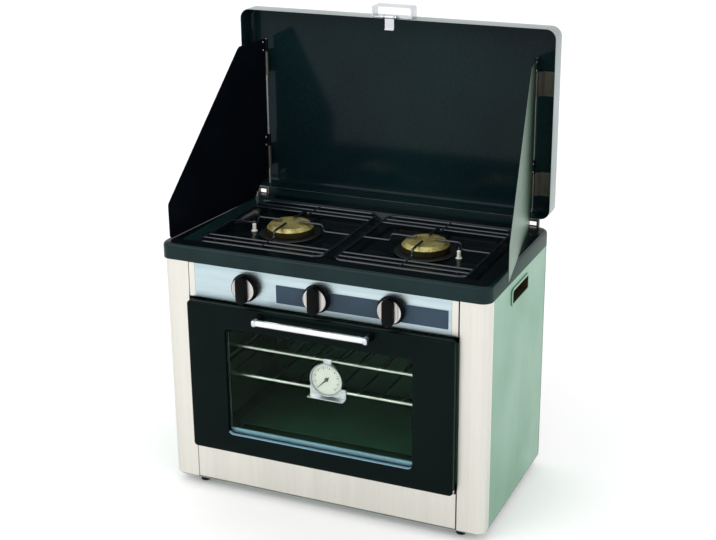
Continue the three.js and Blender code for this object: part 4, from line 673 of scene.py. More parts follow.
# Chrome plate: mirror bright with faint handling haze.
CHROME = Finish("chrome_plate", "EEF0F1", "E2E5E7", roughness=0.1, spread=0.05, metallic=1,
    relief_mm=0.002, cloud_mm=40)
# Satin chrome: bright, but with blurred edges to what it mirrors.
CHROME_SATIN = Finish("satin_chrome", "D8DBDF", "CACED3", roughness=0.28, metallic=1, grain_mm=0.6,
    relief_mm=0.003, cloud_mm=40)
# Plated oven wire: pale where the door lets light in, with brighter and duller stretches.
OVEN_WIRE = Finish("bright_plate_wire", "DDE6DC", "A3B1A3", roughness=0.3, metallic=1, relief_mm=0.003,
    cloud_mm=14)
# The same plate painted darker on the bars across the rack: painted shade inside the oven, dark grey green.
OVEN_WIRE_SHADED = Finish("plate_painted_shade", "68776A", "556357", roughness=0.4, metallic=1,
    relief_mm=0.003, cloud_mm=40)
# Turned brass, its lacquer burnt off: pale yellow with straw and grey heat marks.
BRASS = Finish("turned_brass", "DACF8C", "7D7236", roughness=0.42, spread=0.08, metallic=0.6,
    grain_mm=2.4, relief_mm=0.006, cloud_mm=16)
# Brass painted dark on the caps' lower side faces round the flame ports: painted shade.
BRASS_SHADED = Finish("brass_painted_shade", "3A3418", "221F12", roughness=0.6, spread=0.08, metallic=0.4,
    grain_mm=0.8, relief_mm=0.02, cloud_mm=12, specular=0.2)
# Die-cast aluminium left as cast: grey and pebbled.
CAST_METAL = Finish("cast_aluminium", "4A4D4B", "3A3D3C", roughness=0.5, spread=0.1, metallic=1,
    grain_mm=0.9, relief_mm=0.05, cloud_mm=30)
# Glazed alumina: white and glassy.
CERAMIC = Finish("glazed_alumina", "F1EFE8", "E4E1D8", roughness=0.2, spread=0.05, relief_mm=0.004,
    cloud_mm=20, coat=0.5)
# Enamelled wire: black, with a cold light along each bar.
WIRE_ENAMEL = Finish("enamelled_wire", "10161E", "1A222C", roughness=0.2, grain_mm=1.2, relief_mm=0.02,
    cloud_mm=25, specular=0.7)
# Moulded plastic with a fine spark-eroded texture: black, slightly soft.
KNOB_PLASTIC = Finish("moulded_abs_black", "040506", "070909", roughness=0.38, spread=0.05, grain_mm=0.6,
    relief_mm=0.006, cloud_mm=30, specular=0.06)
# Spun aluminium plate on a knob's face: bright and warm, with fine upright lines.
KNOB_FACE = Finish("spun_aluminium", "DCD9D6", "A39E9A", roughness=0.3, spread=0.1, metallic=0.8,
    grain_mm=1.0, grain=Grain.UPRIGHT, relief_mm=0.004, cloud_mm=4, cloud=Grain.UPRIGHT)
# Moulded nylon: brown, matt.
GRIP_PLASTIC = Finish("moulded_nylon_grip", "2E2814", "231E0F", roughness=0.5, grain_mm=0.6,
    cloud_mm=30, specular=0.15)
# Moulded rubber: dead matt, dark grey.
RUBBER = Finish("moulded_rubber", "1B1C1C", "232424", roughness=0.75, spread=0.08, grain_mm=0.8,
    relief_mm=0.02, cloud_mm=20, specular=0.2)
# Printed card of the dial: white, flat.
DIAL_WHITE = Finish("printed_dial", "F4F6F0", "ECEFE8", roughness=0.45, spread=0.03, grain_mm=0.6,
    relief_mm=0.001, cloud_mm=20)
# Black print of the dial's marks and needle.
DIAL_BLACK = Finish("printed_dial_black", "151617", "1C1D1E", roughness=0.5, spread=0.03, grain_mm=0.6,
    relief_mm=0.001, cloud_mm=20)
# Tempered glass: clear, faintly green. Its low index keeps the pale floor's mirror weak.
OVEN_GLASS = ClearGlass("tempered_glass", "F2F6F2", "C4D6CA", roughness=0.02, ior=1.1)


# Pieces

@dataclass
class Assembly:
    """A group of pieces that a maker would put together, with what they need to be dressed."""

    made: list[bpy.types.Object] = field(default_factory=list, init=False)

    def piece(self, name: str, surface: Surface, finish: Finish, body: str, slot: str,
              replaces: Iterable[str] = (), sharp: float = 32.0, bevel: float = 0.0) -> bpy.types.Object:
        """Puts a surface into the scene as one piece, smooth apart from its sharp edges.

        Args:
            name: The piece's name.
            surface: Its shape in millimetres.
            finish: Its finish.
            body: The body that it rides on.
            slot: The record's material slot; not used.
            replaces: Nodes that it stands for.
            sharp: Edges bent by more than this many degrees stay sharp.
            bevel: Width in millimetres of an eased edge, or zero.

        Returns:
            The object.
        """
        mesh = bpy.data.meshes.new(name)
        points = surface.points * MM + ORIGIN
        counts = np.concatenate([np.full(len(f), f.shape[1]) for f in surface.faces])
        corners = np.concatenate([f.reshape(-1) for f in surface.faces])
        mesh.vertices.add(len(points))
        mesh.vertices.foreach_set("co", points.reshape(-1))
        mesh.loops.add(len(corners))
        mesh.loops.foreach_set("vertex_index", corners.astype(np.int32))
        mesh.polygons.add(len(counts))
        mesh.polygons.foreach_set("loop_start", (np.cumsum(counts) - counts).astype(np.int32))
        mesh.update(calc_edges=True)
        work = bmesh.new()
        work.from_mesh(mesh)
        bmesh.ops.remove_doubles(work, verts=work.verts, dist=SAME_POINT_M)
        bmesh.ops.recalc_face_normals(work, faces=work.faces)
        work.to_mesh(mesh)
        work.free()
        mesh.shade_smooth()
        mesh.set_sharp_from_angle(angle=math.radians(sharp))
        mesh.materials.append(finish.build())
        thing = bpy.data.objects.new(name, mesh)
        bpy.context.scene.collection.objects.link(thing)
        if bevel:
            edge = thing.modifiers.new("eased_edges", "BEVEL")
            edge.width = bevel * MM
            edge.segments = 2
            edge.limit_method = "ANGLE"
            edge.angle_limit = math.radians(BEVEL_FROM)
        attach(thing, body)
        nodes = list(replaces)
        if nodes:
            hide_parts(*nodes)
        self.made.append(thing)
        log.info("%s on %s, %d faces", name, body, len(mesh.polygons))
        return thing

    def paint(self, thing: bpy.types.Object, finish: Finish, chosen: Choice) -> None:
        """Gives some faces of a piece another finish.

        Args:
            thing: The piece.
            finish: The other finish.
            chosen: Picks the faces from their centres in millimetres and their normals.
        """
        mesh = thing.data
        values = np.empty((2, len(mesh.polygons) * 3))
        mesh.polygons.foreach_get("center", values[0])
        mesh.polygons.foreach_get("normal", values[1])
        centre, normal = values.reshape(2, -1, 3)
        index = np.empty(len(mesh.polygons), np.int32)
        mesh.polygons.foreach_get("material_index", index)
        index[chosen((centre - ORIGIN) / MM, normal)] = len(mesh.materials)
        mesh.materials.append(finish.build())
        mesh.polygons.foreach_set("material_index", index)

    def dress(self, finish: Finish, *names: str) -> None:
        """Gives CAD nodes that keep their shape a better finish.

        Args:
            finish: The finish.
            names: Names of the nodes.
        """
        for name in names:
            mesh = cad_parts[name].data
            mesh.materials.clear()
            mesh.materials.append(finish.build())
            log.info("%s dressed in %s", name, finish.name)


@dataclass
class Cabinet(Assembly):
    """The sheet metal box: posts, sides, back, base, kick panel, grips and feet."""

    half_width: float = 260.0
    height: float = 366.0
    post_foot: float = 1.3
    post_inner: float = 217.0
    post_radius: float = 16.0
    post_side: float = 24.0
    post_return: float = 14.0
    kick_foot: float = 1.8
    kick_height: float = 61.0
    pivot: tuple[float, float] = (-8.0, 68.5)
    lug_radius: float = 4.2
    lug_x: tuple[float, float] = (206.0, 209.0)
    pin_x: tuple[float, float] = (207.5, 215.8)
    pin_radius: float = 2.5
    grip: tuple[float, float, float, float] = (106.0, 184.0, 326.0, 349.0)
    grip_depth: float = 16.0
    grip_wall: float = 1.5
    foot_x: float = 218.0
    foot_y: tuple[float, float] = (22.0, 258.0)

    def build(self) -> None:
        """Makes every piece of the cabinet."""
        self.dress(BACK_STEEL, "base_pan", "back_panel")
        self.dress(SIDE_STEEL, "side_panel_left", "side_panel_right")
        for side in Side:
            self.post(side)
            self.grip_cup(side)
            for end, y in zip(("front", "rear"), self.foot_y):
                self.foot(side, end, y)
        self.kick_panel()

    def post(self, side: Side) -> None:
        """A corner post: a return, a flat face, a wide corner arc and a short side wrap.

        Args:
            side: Which side it stands on.
        """
        inner, outer = self.post_inner + HALF_SHEET, self.half_width - HALF_SHEET
        line = fillet([[inner, self.post_return], [inner, HALF_SHEET], [outer, HALF_SHEET],
                       [outer, self.post_side]], [1.5, self.post_radius], 14)
        surface = bent_sheet(line, self.post_foot, self.height, "xy")
        self.piece(f"post_{side.label}", surface.on(side), FRONT_STEEL, "cabinet", "front_steel",
                   [f"front_post_{side.label}"])

    def kick_panel(self) -> None:
        """The panel under the door, with the two lugs and pins that the door turns on."""
        half, head = self.post_inner - 1.1, self.kick_height - HALF_SHEET
        sheet = bent_sheet(flanged(self.kick_foot, head, 1.5, 6), -half, half, "yz")
        y, z, r = *self.pivot, self.lug_radius
        pin_start, pin_end = self.pin_x
        turn = np.linspace(math.pi / 2, 1.5 * math.pi, 16)[1:-1]
        nose = np.array([y, z]) + r * np.stack([np.cos(turn), np.sin(turn)], axis=1)
        outline = np.concatenate([[[8, head], [8, z + r], [y, z + r]], nose,
                                  [[y, z - r], [3, z - r], [3, head]]])
        lug = combine(prism(outline, *self.lug_x, "yz"),
                      bar([pin_start, y, z], [pin_end, y, z], self.pin_radius))
        self.piece("kick_sheet", combine(sheet, lug, lug.mirrored()), FRONT_STEEL, "cabinet", "front_steel",
                   ["kick_panel"])

    def grip_cup(self, side: Side) -> None:
        """A moulded finger cup: a bright rounded bezel on the side and a pocket behind the slot.

        Args:
            side: Which side it stands on.
        """
        y0, y1, z0, z1 = self.grip
        back = -self.grip_depth
        face = back + self.grip_wall
        rows = np.array([(-2.4, 0.3), (-2.4, 1.4), (-2.1, 1.8), (-1.7, 1.9), (0.6, 1.9), (1.2, 1.7),
                         (1.8, 1.2), (1.8, face + 3), (2.6, face + 0.9), (4.6, face), (6.0, face),
                         (6.0, back), (3.6, back), (0.9, back + 0.9), (0.3, back + 3), (0.3, 0.3)])
        rings = inset_rings(self.grip, np.maximum(5 - rows[:, 0], 0.4), rows + [0, self.half_width], "yz", 6)
        floor = block([self.half_width + back, self.half_width + face], [y0 + 5.5, y1 - 5.5],
                      [z0 + 5.5, z1 - 5.5], 0.4)
        surface = combine(frame_ring(rings), floor)
        cup = self.piece(f"grip_{side.label}", surface.on(side), GRIP_PLASTIC, "cabinet", "grip_plastic",
                         [f"grip_cup_{side.label}"])
        self.paint(cup, SIDE_STEEL, lambda centre, normal: np.abs(centre[:, 0]) > self.half_width + 0.25)

    def foot(self, side: Side, end: str, y: float) -> None:
        """A rubber foot: collar, waisted stem and a ribbed pad.

        Args:
            side: Which side it stands on.
            end: front or rear.
            y: How far back it stands.
        """
        profile = [[0, -15], [7.5, -15], [7.5, -12.6], [6, -11.6], [6, -7], [9.6, -6.6], [10, -0.3],
                   [0, -0.3]]
        surface = turned(profile, [self.foot_x, y, 0], "z", 40, [0.8, 0.6, 0.6, 0.6, 0.8, 0.8])
        self.piece(f"rubber_foot_{end}_{side.label}", surface.on(side), RUBBER, "cabinet", "rubber",
                   [f"foot_{end}_{side.label}"])


@dataclass
class Controls(Assembly):
    """The control panel with its printed film, and the three knobs on their stems."""

    half_width: float = 215.9
    bottom: float = 309.0
    top: float = 365.7
    label: tuple[float, float, float, float] = (-69.0, 201.0, 320.0, 348.0)
    knob_x: tuple[float, float, float] = (-117.0, 0.0, 117.0)
    knob_z: float = 339.0
    knob_back: float = -5.6
    skirt_radius: float = 21.6
    face_radius: float = 18.2
    grip_half: float = 8.4
    grip_reach: float = 20.9
    end_strip: float = 9.9

    def build(self) -> None:
        """Makes the panel, the film and the knobs."""
        line = flanged(self.bottom + HALF_SHEET, self.top - HALF_SHEET, 2.2, 8)
        inner = self.half_width - self.end_strip
        self.piece("panel_sheet", bent_sheet(line, -inner, inner, "yz"), PANEL_STEEL,
                   "cabinet", "panel_steel", ["control_panel"])
        strip = bent_sheet(line, inner + 0.3, self.half_width, "yz")
        self.piece("panel_flanges", combine(strip, strip.mirrored()), FRONT_STEEL, "cabinet", "front_steel")
        self.film()
        for x, name in zip(self.knob_x, ("left", "centre", "right")):
            self.knob(x, name)
            self.dress(CHROME_SATIN, f"tap_stem_{name}")

    def film(self) -> None:
        """The printed film: a thin rounded plate with its front edge eased."""
        rings = inset_rings(self.label, 1.0, [(0, -0.05), (0, -0.9), (0.2, -1.1)], "xz", 3)
        self.piece("label_film", loft(rings), LABEL_FILM, "cabinet", "label", ["control_label"])

    def knob(self, x: float, name: str) -> None:
        """A knob: a black stepped skirt, a bright face plate, and a wide black grip bar across it.

        Args:
            x: Where the knob stands.
            name: Its place, for the nodes it stands for.
        """
        back, z, half, r = self.knob_back, self.knob_z, self.grip_half, self.skirt_radius
        skirt = turned([[0, back - 9.7], [r - 2.4, back - 9.7], [r - 1.8, back - 4.0], [r, back - 2.6],
                        [r, back], [0, back]], [x, 0, z], "y", ROUND, [0.8, 1.0, 1.0, 0.6], 4)
        rows = np.array([(0, back - 3.0), (0, back - 17.4), (0.4, back - 18.4), (1.4, back - 19.0)])
        box = [x - half, x + half, z - self.grip_reach, z + self.grip_reach]
        grip = loft(inset_rings(box, half - rows[:, 0] - 1, rows, "xz"))
        self.piece(f"knob_body_{name}", combine(skirt, grip), KNOB_PLASTIC, f"knob_{name}", "black_plastic",
                   [f"knob_{name}"])
        r = self.face_radius
        plate = turned([[0, back - 10.4], [r, back - 10.1], [r, back - 9.4], [0, back - 9.4]], [x, 0, z], "y",
                       ROUND, 0.2)
        self.piece(f"knob_face_{name}", plate, KNOB_FACE, f"knob_{name}", "chrome")


@dataclass
class OvenDoor(Assembly):
    """The drop-down door: pressed black panel, glass, inner sheet and handle."""

    half_width: float = 215.5
    bottom: float = 62.5
    top: float = 307.5
    front: float = -14.0
    window: tuple[float, float, float, float] = (-152.0, 152.0, 95.0, 270.0)
    handle_half: float = 90.0
    handle_level: float = 297.5
    handle_reach: float = 20.0
    rod_radius: float = 5.0

    def build(self) -> None:
        """Makes the door."""
        self.panel()
        self.dress(OVEN_GLASS, "door_glass")
        self.dress(ALUMINISED, "door_liner")
        self.sill()
        self.handle()

    def panel(self) -> None:
        """The pressed panel: rounded outer edge, flat face, and a lip in round the window."""
        sheet = [-self.half_width, self.half_width, self.bottom, self.top]
        outer = np.array([(0, -1.3), (0, -11.0), (0.4, -12.6), (1.4, -13.6), (3.0, -14.0)])
        inner = np.array([(-2.0, -14.0), (-0.9, -13.7), (-0.2, -12.9), (0, -11.6), (0, -9.1)])
        rings = inset_rings(sheet, 5 + np.maximum(1 - outer[:, 0], 0), outer, "xz")
        rings += inset_rings(self.window, 8 - inner[:, 0], inner, "xz")
        rings += inset_rings(self.window, 9.2, [(-1.2, -9.1), (-1.2, -12.4)], "xz")
        rings += inset_rings(sheet, 4, [(1.4, -12.4), (1.2, -1.3)], "xz")
        skin = self.piece("door_skin", frame_ring(rings), DOOR_PAINT, "door", "door_black", ["door_panel"])
        x1, z0 = self.window[1:3]
        # The lip's upward faces at the window's foot are painted light blue: a painted reflection.
        self.paint(skin, SILL_REFLECTION, lambda centre, normal: (normal[:, 2] > 0.3) & (centre[:, 1] < -9) & (
            np.abs(centre[:, 2] - z0) < 3) & (np.abs(centre[:, 0]) < x1))

    def sill(self) -> None:
        """The light blue strip along the window's lower edge, inside the lip, whose colour is a painted
        reflection, and the seals up its sides.
        """
        x0, x1, z0, z1 = self.window
        strip = block([x0 + 1, x1 - 1], [-4.4, -2.0], [z0 - 2.4, z0 + 7.6], 0.6)
        self.piece("window_sill", strip, SILL_REFLECTION, "door", "aluminised")
        seal = block([x1 - 2.4, x1 + 0.5], [-4.4, -2.4], [z0 + 8.0, z1 - 4], 0.5)
        self.piece("window_seals", combine(seal, seal.mirrored()), EDGE_GREEN, "door", "rubber")

    def handle(self) -> None:
        """The chrome bar, and the two legs that hold it: bright at the bar, black behind it."""
        y, z, half = self.front - self.handle_reach, self.handle_level, self.handle_half
        self.piece("handle_rod", bar([-half, y, z], [half, y, z], self.rod_radius, 0.8, 40), CHROME, "door",
                   "chrome", ["handle_bar"])
        x = half - 1
        rows = [(-14.3, 4.96, 7.4), (-16.5, 4.16, 6.0), (-26.0, 4.0, 5.6), (-31.0, 4.0, 5.4),
                (-36.0, 4.0, 5.4), (-38.6, 3.36, 4.6), (-39.8, 2.08, 3.0)]
        rings = [place(*rounded_box_outline(x - w, x + w, z - h, z + h, w * 0.75, 6).T, depth, "xz")
                 for depth, w, h in rows]
        for side in Side:
            end = self.piece(f"handle_end_{side.label}", loft(rings).on(side), CHROME_SATIN, "door", "chrome",
                             [f"handle_bracket_{side.label}"])
            self.paint(end, KNOB_PLASTIC, lambda centre, normal: centre[:, 1] > y + 5)


@dataclass
class OvenInside(Assembly):
    """The oven's lining, racks and hanging thermometer."""

    levels: tuple[float, float] = (183.0, 231.0)
    half_width: float = 194.5
    front: float = 20.0
    back: float = 238.0
    wire: float = 2.5
    thin_wire: float = 1.5
    bars: int = 10
    dial_x: float = 5.0
    dial_z: float = 203.0
    case_back: float = 17.2
    case_depth: float = 9.0
    hook_top: float = 234.55
    foot_level: float = 173.2

    def build(self) -> None:
        """Makes the racks and the thermometer and dresses the lining."""
        self.dress(OVEN_ENAMEL, "oven_liner", "oven_baffle")
        for level, name in zip(self.levels, ("lower", "upper")):
            self.rack(level, name)
        self.thermometer()

    def rack(self, level: float, name: str) -> None:
        """A wire rack: a closed frame with rounded corners and thinner bars across it.

        Args:
            level: Height of the frame's middle.
            name: lower or upper.
        """
        path = place(*rounded_box_outline(-self.half_width, self.half_width, self.front, self.back, 12, 8).T,
                     level, "xy")
        wires = [tube(path, self.wire, [0, 0, 1], 14, closed=True)]
        xs = self.half_width * (2 * np.arange(1, self.bars + 1) / (self.bars + 1) - 1)
        z = level + self.wire - self.thin_wire / 2
        wires += [bar([x, self.front, z], [x, self.back, z], self.thin_wire, 0.3, 12) for x in xs]
        rack = self.piece(f"rack_wires_{name}", combine(*wires), OVEN_WIRE, f"{name}_rack", "chrome",
                          [f"rack_{name}"])
        # The bars across the rack are painted darker than the frame: painted shade.
        self.paint(rack, OVEN_WIRE_SHADED, lambda centre, normal: (centre[:, 1] > self.front + 3) & (
            centre[:, 1] < self.back - 4) & (np.abs(centre[:, 0]) < self.half_width - 12))

    def thermometer(self) -> None:
        """Case with a rolled rim, hook and foot, a printed dial and a needle."""
        x, z, back = self.dial_x, self.dial_z, self.case_back
        front, strap = back - self.case_depth, back - 0.75
        case = turned([[0, front + 5], [24.4, front + 5], [24.6, front + 1.0], [25.0, front + 0.2],
                       [25.8, front], [26.5, front + 0.6], [26.5, front + 2], [26.2, back], [0, back]],
                      [x, 0, z], "y", ROUND)
        hook = bent_sheet(fillet([[strap, z + 13], [strap, self.hook_top], [23.85, self.hook_top],
                                  [23.85, self.hook_top - 11.55]], 2.4, 8), x - 6.5, x + 6.5, "yz", 1.5)
        foot = bent_sheet(fillet([[strap, z - 14], [strap, self.foot_level], [back - 13, self.foot_level]],
                                 1.6, 6), x - 29.5, x + 29.5, "yz", 1.3)
        self.piece("thermometer_shell", combine(case, hook, foot), CHROME_SATIN, "thermometer", "chrome",
                   ["thermometer_case"])
        face = front + 3.7
        dial = turned([[0, face], [24.1, face], [24.1, face + 1], [0, face + 1]], [x, 0, z], "y", ROUND,
                      0.2, 2)
        self.piece("dial_plate", dial, DIAL_WHITE, "thermometer", "dial", ["thermometer_dial"])
        self.dial_marks(x, z, face)
        pin = turned([[0, face - 1.9], [1.2, face - 1.6], [1.2, face], [0, face]], [x, 0, z], "y", 24, 0.2, 2)
        self.piece("needle_pin", pin, BRASS, "thermometer", "chrome")
        self.dress(DIAL_BLACK, "thermometer_needle")

    def dial_marks(self, x: float, z: float, face: float) -> None:
        """Printed scale: short and long ticks over three quarters of a turn, and an arc.

        Args:
            x: The dial's middle.
            z: Its height.
            face: Where the dial's face lies.
        """
        turn = np.radians(np.linspace(225, -45, 28))
        marks = []
        for i, a in enumerate(turn):
            inner, wide = (17.2, 0.45) if i % 3 == 0 else (19.0, 0.25)
            along, square = np.array([math.cos(a), math.sin(a)]), np.array([-math.sin(a), math.cos(a)])
            corners = np.array([along * inner - square * wide, along * 21.6 - square * wide,
                                along * 21.6 + square * wide, along * inner + square * wide])
            marks.append(prism(corners + np.array([x, z]), face, face - 0.08, "xz"))
        self.piece("dial_scale", combine(*marks), DIAL_BLACK, "thermometer", "dial")


@dataclass
class Hob(Assembly):
    """The enamelled tray with its two burners, electrodes and wire pot supports."""

    half_width: float = 263.0
    front: float = -4.0
    back: float = 284.0
    foot: float = 366.3
    top: float = 391.0
    floor: float = 379.0
    burner_x: float = 113.0
    burner_y: float = 140.0
    upstand_half: float = 224.6
    support_half: tuple[float, float] = (103.0, 110.0)
    support_rise: float = 9.8
    finger_rise: float = 10.8

    def build(self) -> None:
        """Makes the hob."""
        self.tray()
        self.upstand()
        for side in Side:
            self.burner(side)
            self.electrode(side)
            self.pot_support(side)

    def tray(self) -> None:
        """The pressed tray: outer wall, rounded rim, sloping well and a floor with two holes."""
        middle = (self.front + self.back) / 2
        half_y = (self.back - self.front) / 2
        arc = np.radians(np.linspace(0, 90, 7))
        top, floor = self.top, self.floor
        rim = np.stack([6 - 6 * np.cos(arc), top - 6 + 6 * np.sin(arc)], axis=1)
        well = fillet([[24, top], [26.5, top], [34, floor], [38, floor]], 3, 6)
        outer = np.concatenate([[[0, self.foot]], rim, [[14, top], [22, top]], well])
        under = np.array([[38, floor - 1], [34, floor - 1], [26, top - 1.2], [6, top - 1], [1.6, top - 3.5],
                          [1, self.foot]])
        hem = np.array([[1, self.foot], [0, self.foot]])
        walls = [loft(pan_rings(self.half_width, half_y, rows), caps=False).moved(y=middle)
                 for rows in (outer, under, hem)]
        ring = pan_rings(self.half_width, half_y, well[-1:])[0] + np.array([0, middle, 0])
        dish = floor - 0.7
        floors = [hole_patch(self.close_half(ring[ring[:, 0] * side.value > 0], side),
                             [side.value * self.burner_x, self.burner_y], [66, 62, 60, 47, 41, 41],
                             [floor, floor, dish, dish, dish, dish - 1]) for side in Side]
        tray = self.piece("tray_enamel", combine(*walls, *floors), TRAY_ENAMEL, "cabinet", "enamel",
                          ["hob_tray"])
        # Every upward face is painted near black: painted shade, which leaves a painted highlight along the
        # rim's bend.
        self.paint(tray, UPWARD_SHADE_ENAMEL, lambda centre, normal: normal[:, 2] > 0.93)
        # The two side walls take a lighter, greener copy of the enamel: painted light on the sides.
        self.paint(tray, TRAY_SIDE_LIT_ENAMEL, lambda centre, normal: (np.abs(normal[:, 0]) > 0.95) & (
            np.abs(centre[:, 0]) > self.half_width - 3))

    def upstand(self) -> None:
        """The enamelled strip behind the tray that closes the gap under the lid, with its rivets."""
        half = self.upstand_half
        back = self.back + 1.3
        strip = block([-half, half], [back - 1, back], [self.top - 18, self.top + 11.9], 0.3)
        self.piece("upstand_strip", strip, TRAY_ENAMEL, "cabinet", "enamel", ["rear_upstand"])
        heads = rivet_heads([[0, 0], [2.6, 0], [2.1, 0.9], [0, 1.2]], [[1, 0, 0], [0, 0, 1], [0, -1, 0]],
                            [[x, back, self.top - 12] for x in np.linspace(-half + 15, half - 15, 5)])
        self.piece("upstand_rivets", combine(*heads), CHROME_SATIN, "cabinet", "chrome")

    def close_half(self, half: Points, side: Side) -> Points:
        """Orders one half of the floor's outline round its burner and adds the middle line.

        Args:
            half: Outline points on one side of the middle.
            side: Which side.

        Returns:
            The closed outline of that half, with points along the middle line.
        """
        line = place(0, np.linspace(half[:, 1].min(), half[:, 1].max(), 9), self.floor, "xy")
        whole = np.concatenate([half, line])
        angle = np.arctan2(whole[:, 1] - self.burner_y, whole[:, 0] - side.value * self.burner_x)
        return whole[np.argsort(angle)]

    def burner(self, side: Side) -> None:
        """A cast bowl with a flange, and a turned brass cap ringed with flame ports.

        The cap's radius is cut in at each port: radius = plain radius - depth x port(angle, height).

        Args:
            side: Which side it stands on.
        """
        x, y, z = self.burner_x, self.burner_y, self.floor
        bowl = turned([[0, z - 30.7], [9, z - 30.7], [9, z - 18], [32, z - 16.7], [36, z + 0.3],
                       [48, z + 0.3], [48, z + 1.4], [47, z + 1.9], [37, z + 1.9], [34.4, z + 1.0],
                       [32.6, z - 14.6], [0, z - 14.9]], [x, y, 0], "z", ROUND, 0.5)
        self.piece(f"bowl_{side.label}", bowl.on(side), CAST_METAL, "cabinet", "burner_metal",
                   [f"burner_bowl_{side.label}"])
        seat, rim, ports, port_depth = z + 2.2, 36.4, 24, 3.2
        profile = fillet([[0, seat + 11], [28.6, seat + 11], [28.6, seat - 7], [31, seat - 7], [31, seat],
                          [rim, seat], [rim, seat + 9.5], [31, seat + 15], [8, seat + 13.6],
                          [0, seat + 13.4]], 0.6, 4)
        angle = np.linspace(0, 2 * math.pi, 16 * ports, endpoint=False)[None]
        radius, height = profile[:, :1], profile[:, 1:]
        port = np.clip((np.cos(angle * ports) - 0.35) * 3, 0, 1)
        band = np.exp(-((height - seat - 4.4) / 2.2) ** 4) * (radius > 33)
        reach = radius - port_depth * port * band
        rings = place(x + reach * np.cos(angle), y + reach * np.sin(angle), height, "xy")
        node = f"burner_cap_{side.label}"
        cap = self.piece(f"cap_{side.label}", grid(rings, around=True).on(side), BRASS, node, "brass", [node],
                         sharp=50)
        # The caps' lower side faces are painted dark: painted shade.
        self.paint(cap, BRASS_SHADED,
                   lambda centre, normal: (centre[:, 2] < seat + 6.5) & (normal[:, 2] < 0.5))

    def electrode(self, side: Side) -> None:
        """A spark electrode: glazed ceramic with a collar, and its wire tip.

        Args:
            side: Which side it stands on.
        """
        x, y, z = self.burner_x + 57, self.burner_y - 12, self.floor
        ceramic = turned([[0, z - 10], [3, z - 10], [3, z + 0.3], [5, z + 0.3], [5, z + 1.9], [3, z + 1.9],
                          [3, z + 11.6], [2, z + 13], [0, z + 13]], [x, y, 0], "z", 32, 0.4)
        self.piece(f"spark_ceramic_{side.label}", ceramic.on(side), CERAMIC, "cabinet", "ceramic",
                   [f"electrode_{side.label}"])
        tip = bar([x, y, z + 12.5], [x, y, z + 17], 1.1, 0.2, 16)
        self.piece(f"spark_tip_{side.label}", tip.on(side), CHROME, "cabinet", "chrome")

    def pot_support(self, side: Side) -> None:
        """A wire pot support: closed frame, bars across it, feet and four raised fingers.

        Args:
            side: Which side it stands on.
        """
        low, (x1, y1), node = self.floor + self.support_rise, self.support_half, f"pot_support_{side.label}"
        high, frame_wire, cross_wire, rows = low + self.finger_rise, 2.5, 2, (-92, -76, 76, 92)
        path = place(*rounded_box_outline(-x1, x1, -y1, y1, 14, 8).T, low, "xy")
        wires = [tube(path, frame_wire, [0, 0, 1], 14, closed=True)]
        wires += [bar([-x1, y, low], [x1, y, low], cross_wire, 0.3, 12) for y in rows]
        for unit, reach in (((1, 0), x1), ((0, 1), y1), ((-1, 0), x1), ((0, -1), y1)):
            line = fillet([[reach, low], [56, low], [56, high], [15, high]], 5, 8)
            route = np.concatenate([line[:, :1] * np.array(unit), line[:, 1:]], axis=1)
            wires.append(tube(route, cross_wire, [-unit[1], unit[0], 0], 12))
        wires += [bar([x, y, self.floor + 0.3], [x, y, low], frame_wire, 0.4, 12)
                  for x in (-83, 83) for y in (rows[0], rows[-1])]
        surface = combine(*wires).moved(self.burner_x * side.value, self.burner_y)
        self.piece(f"support_wires_{side.label}", surface, WIRE_ENAMEL, node, "wire_black", [node])


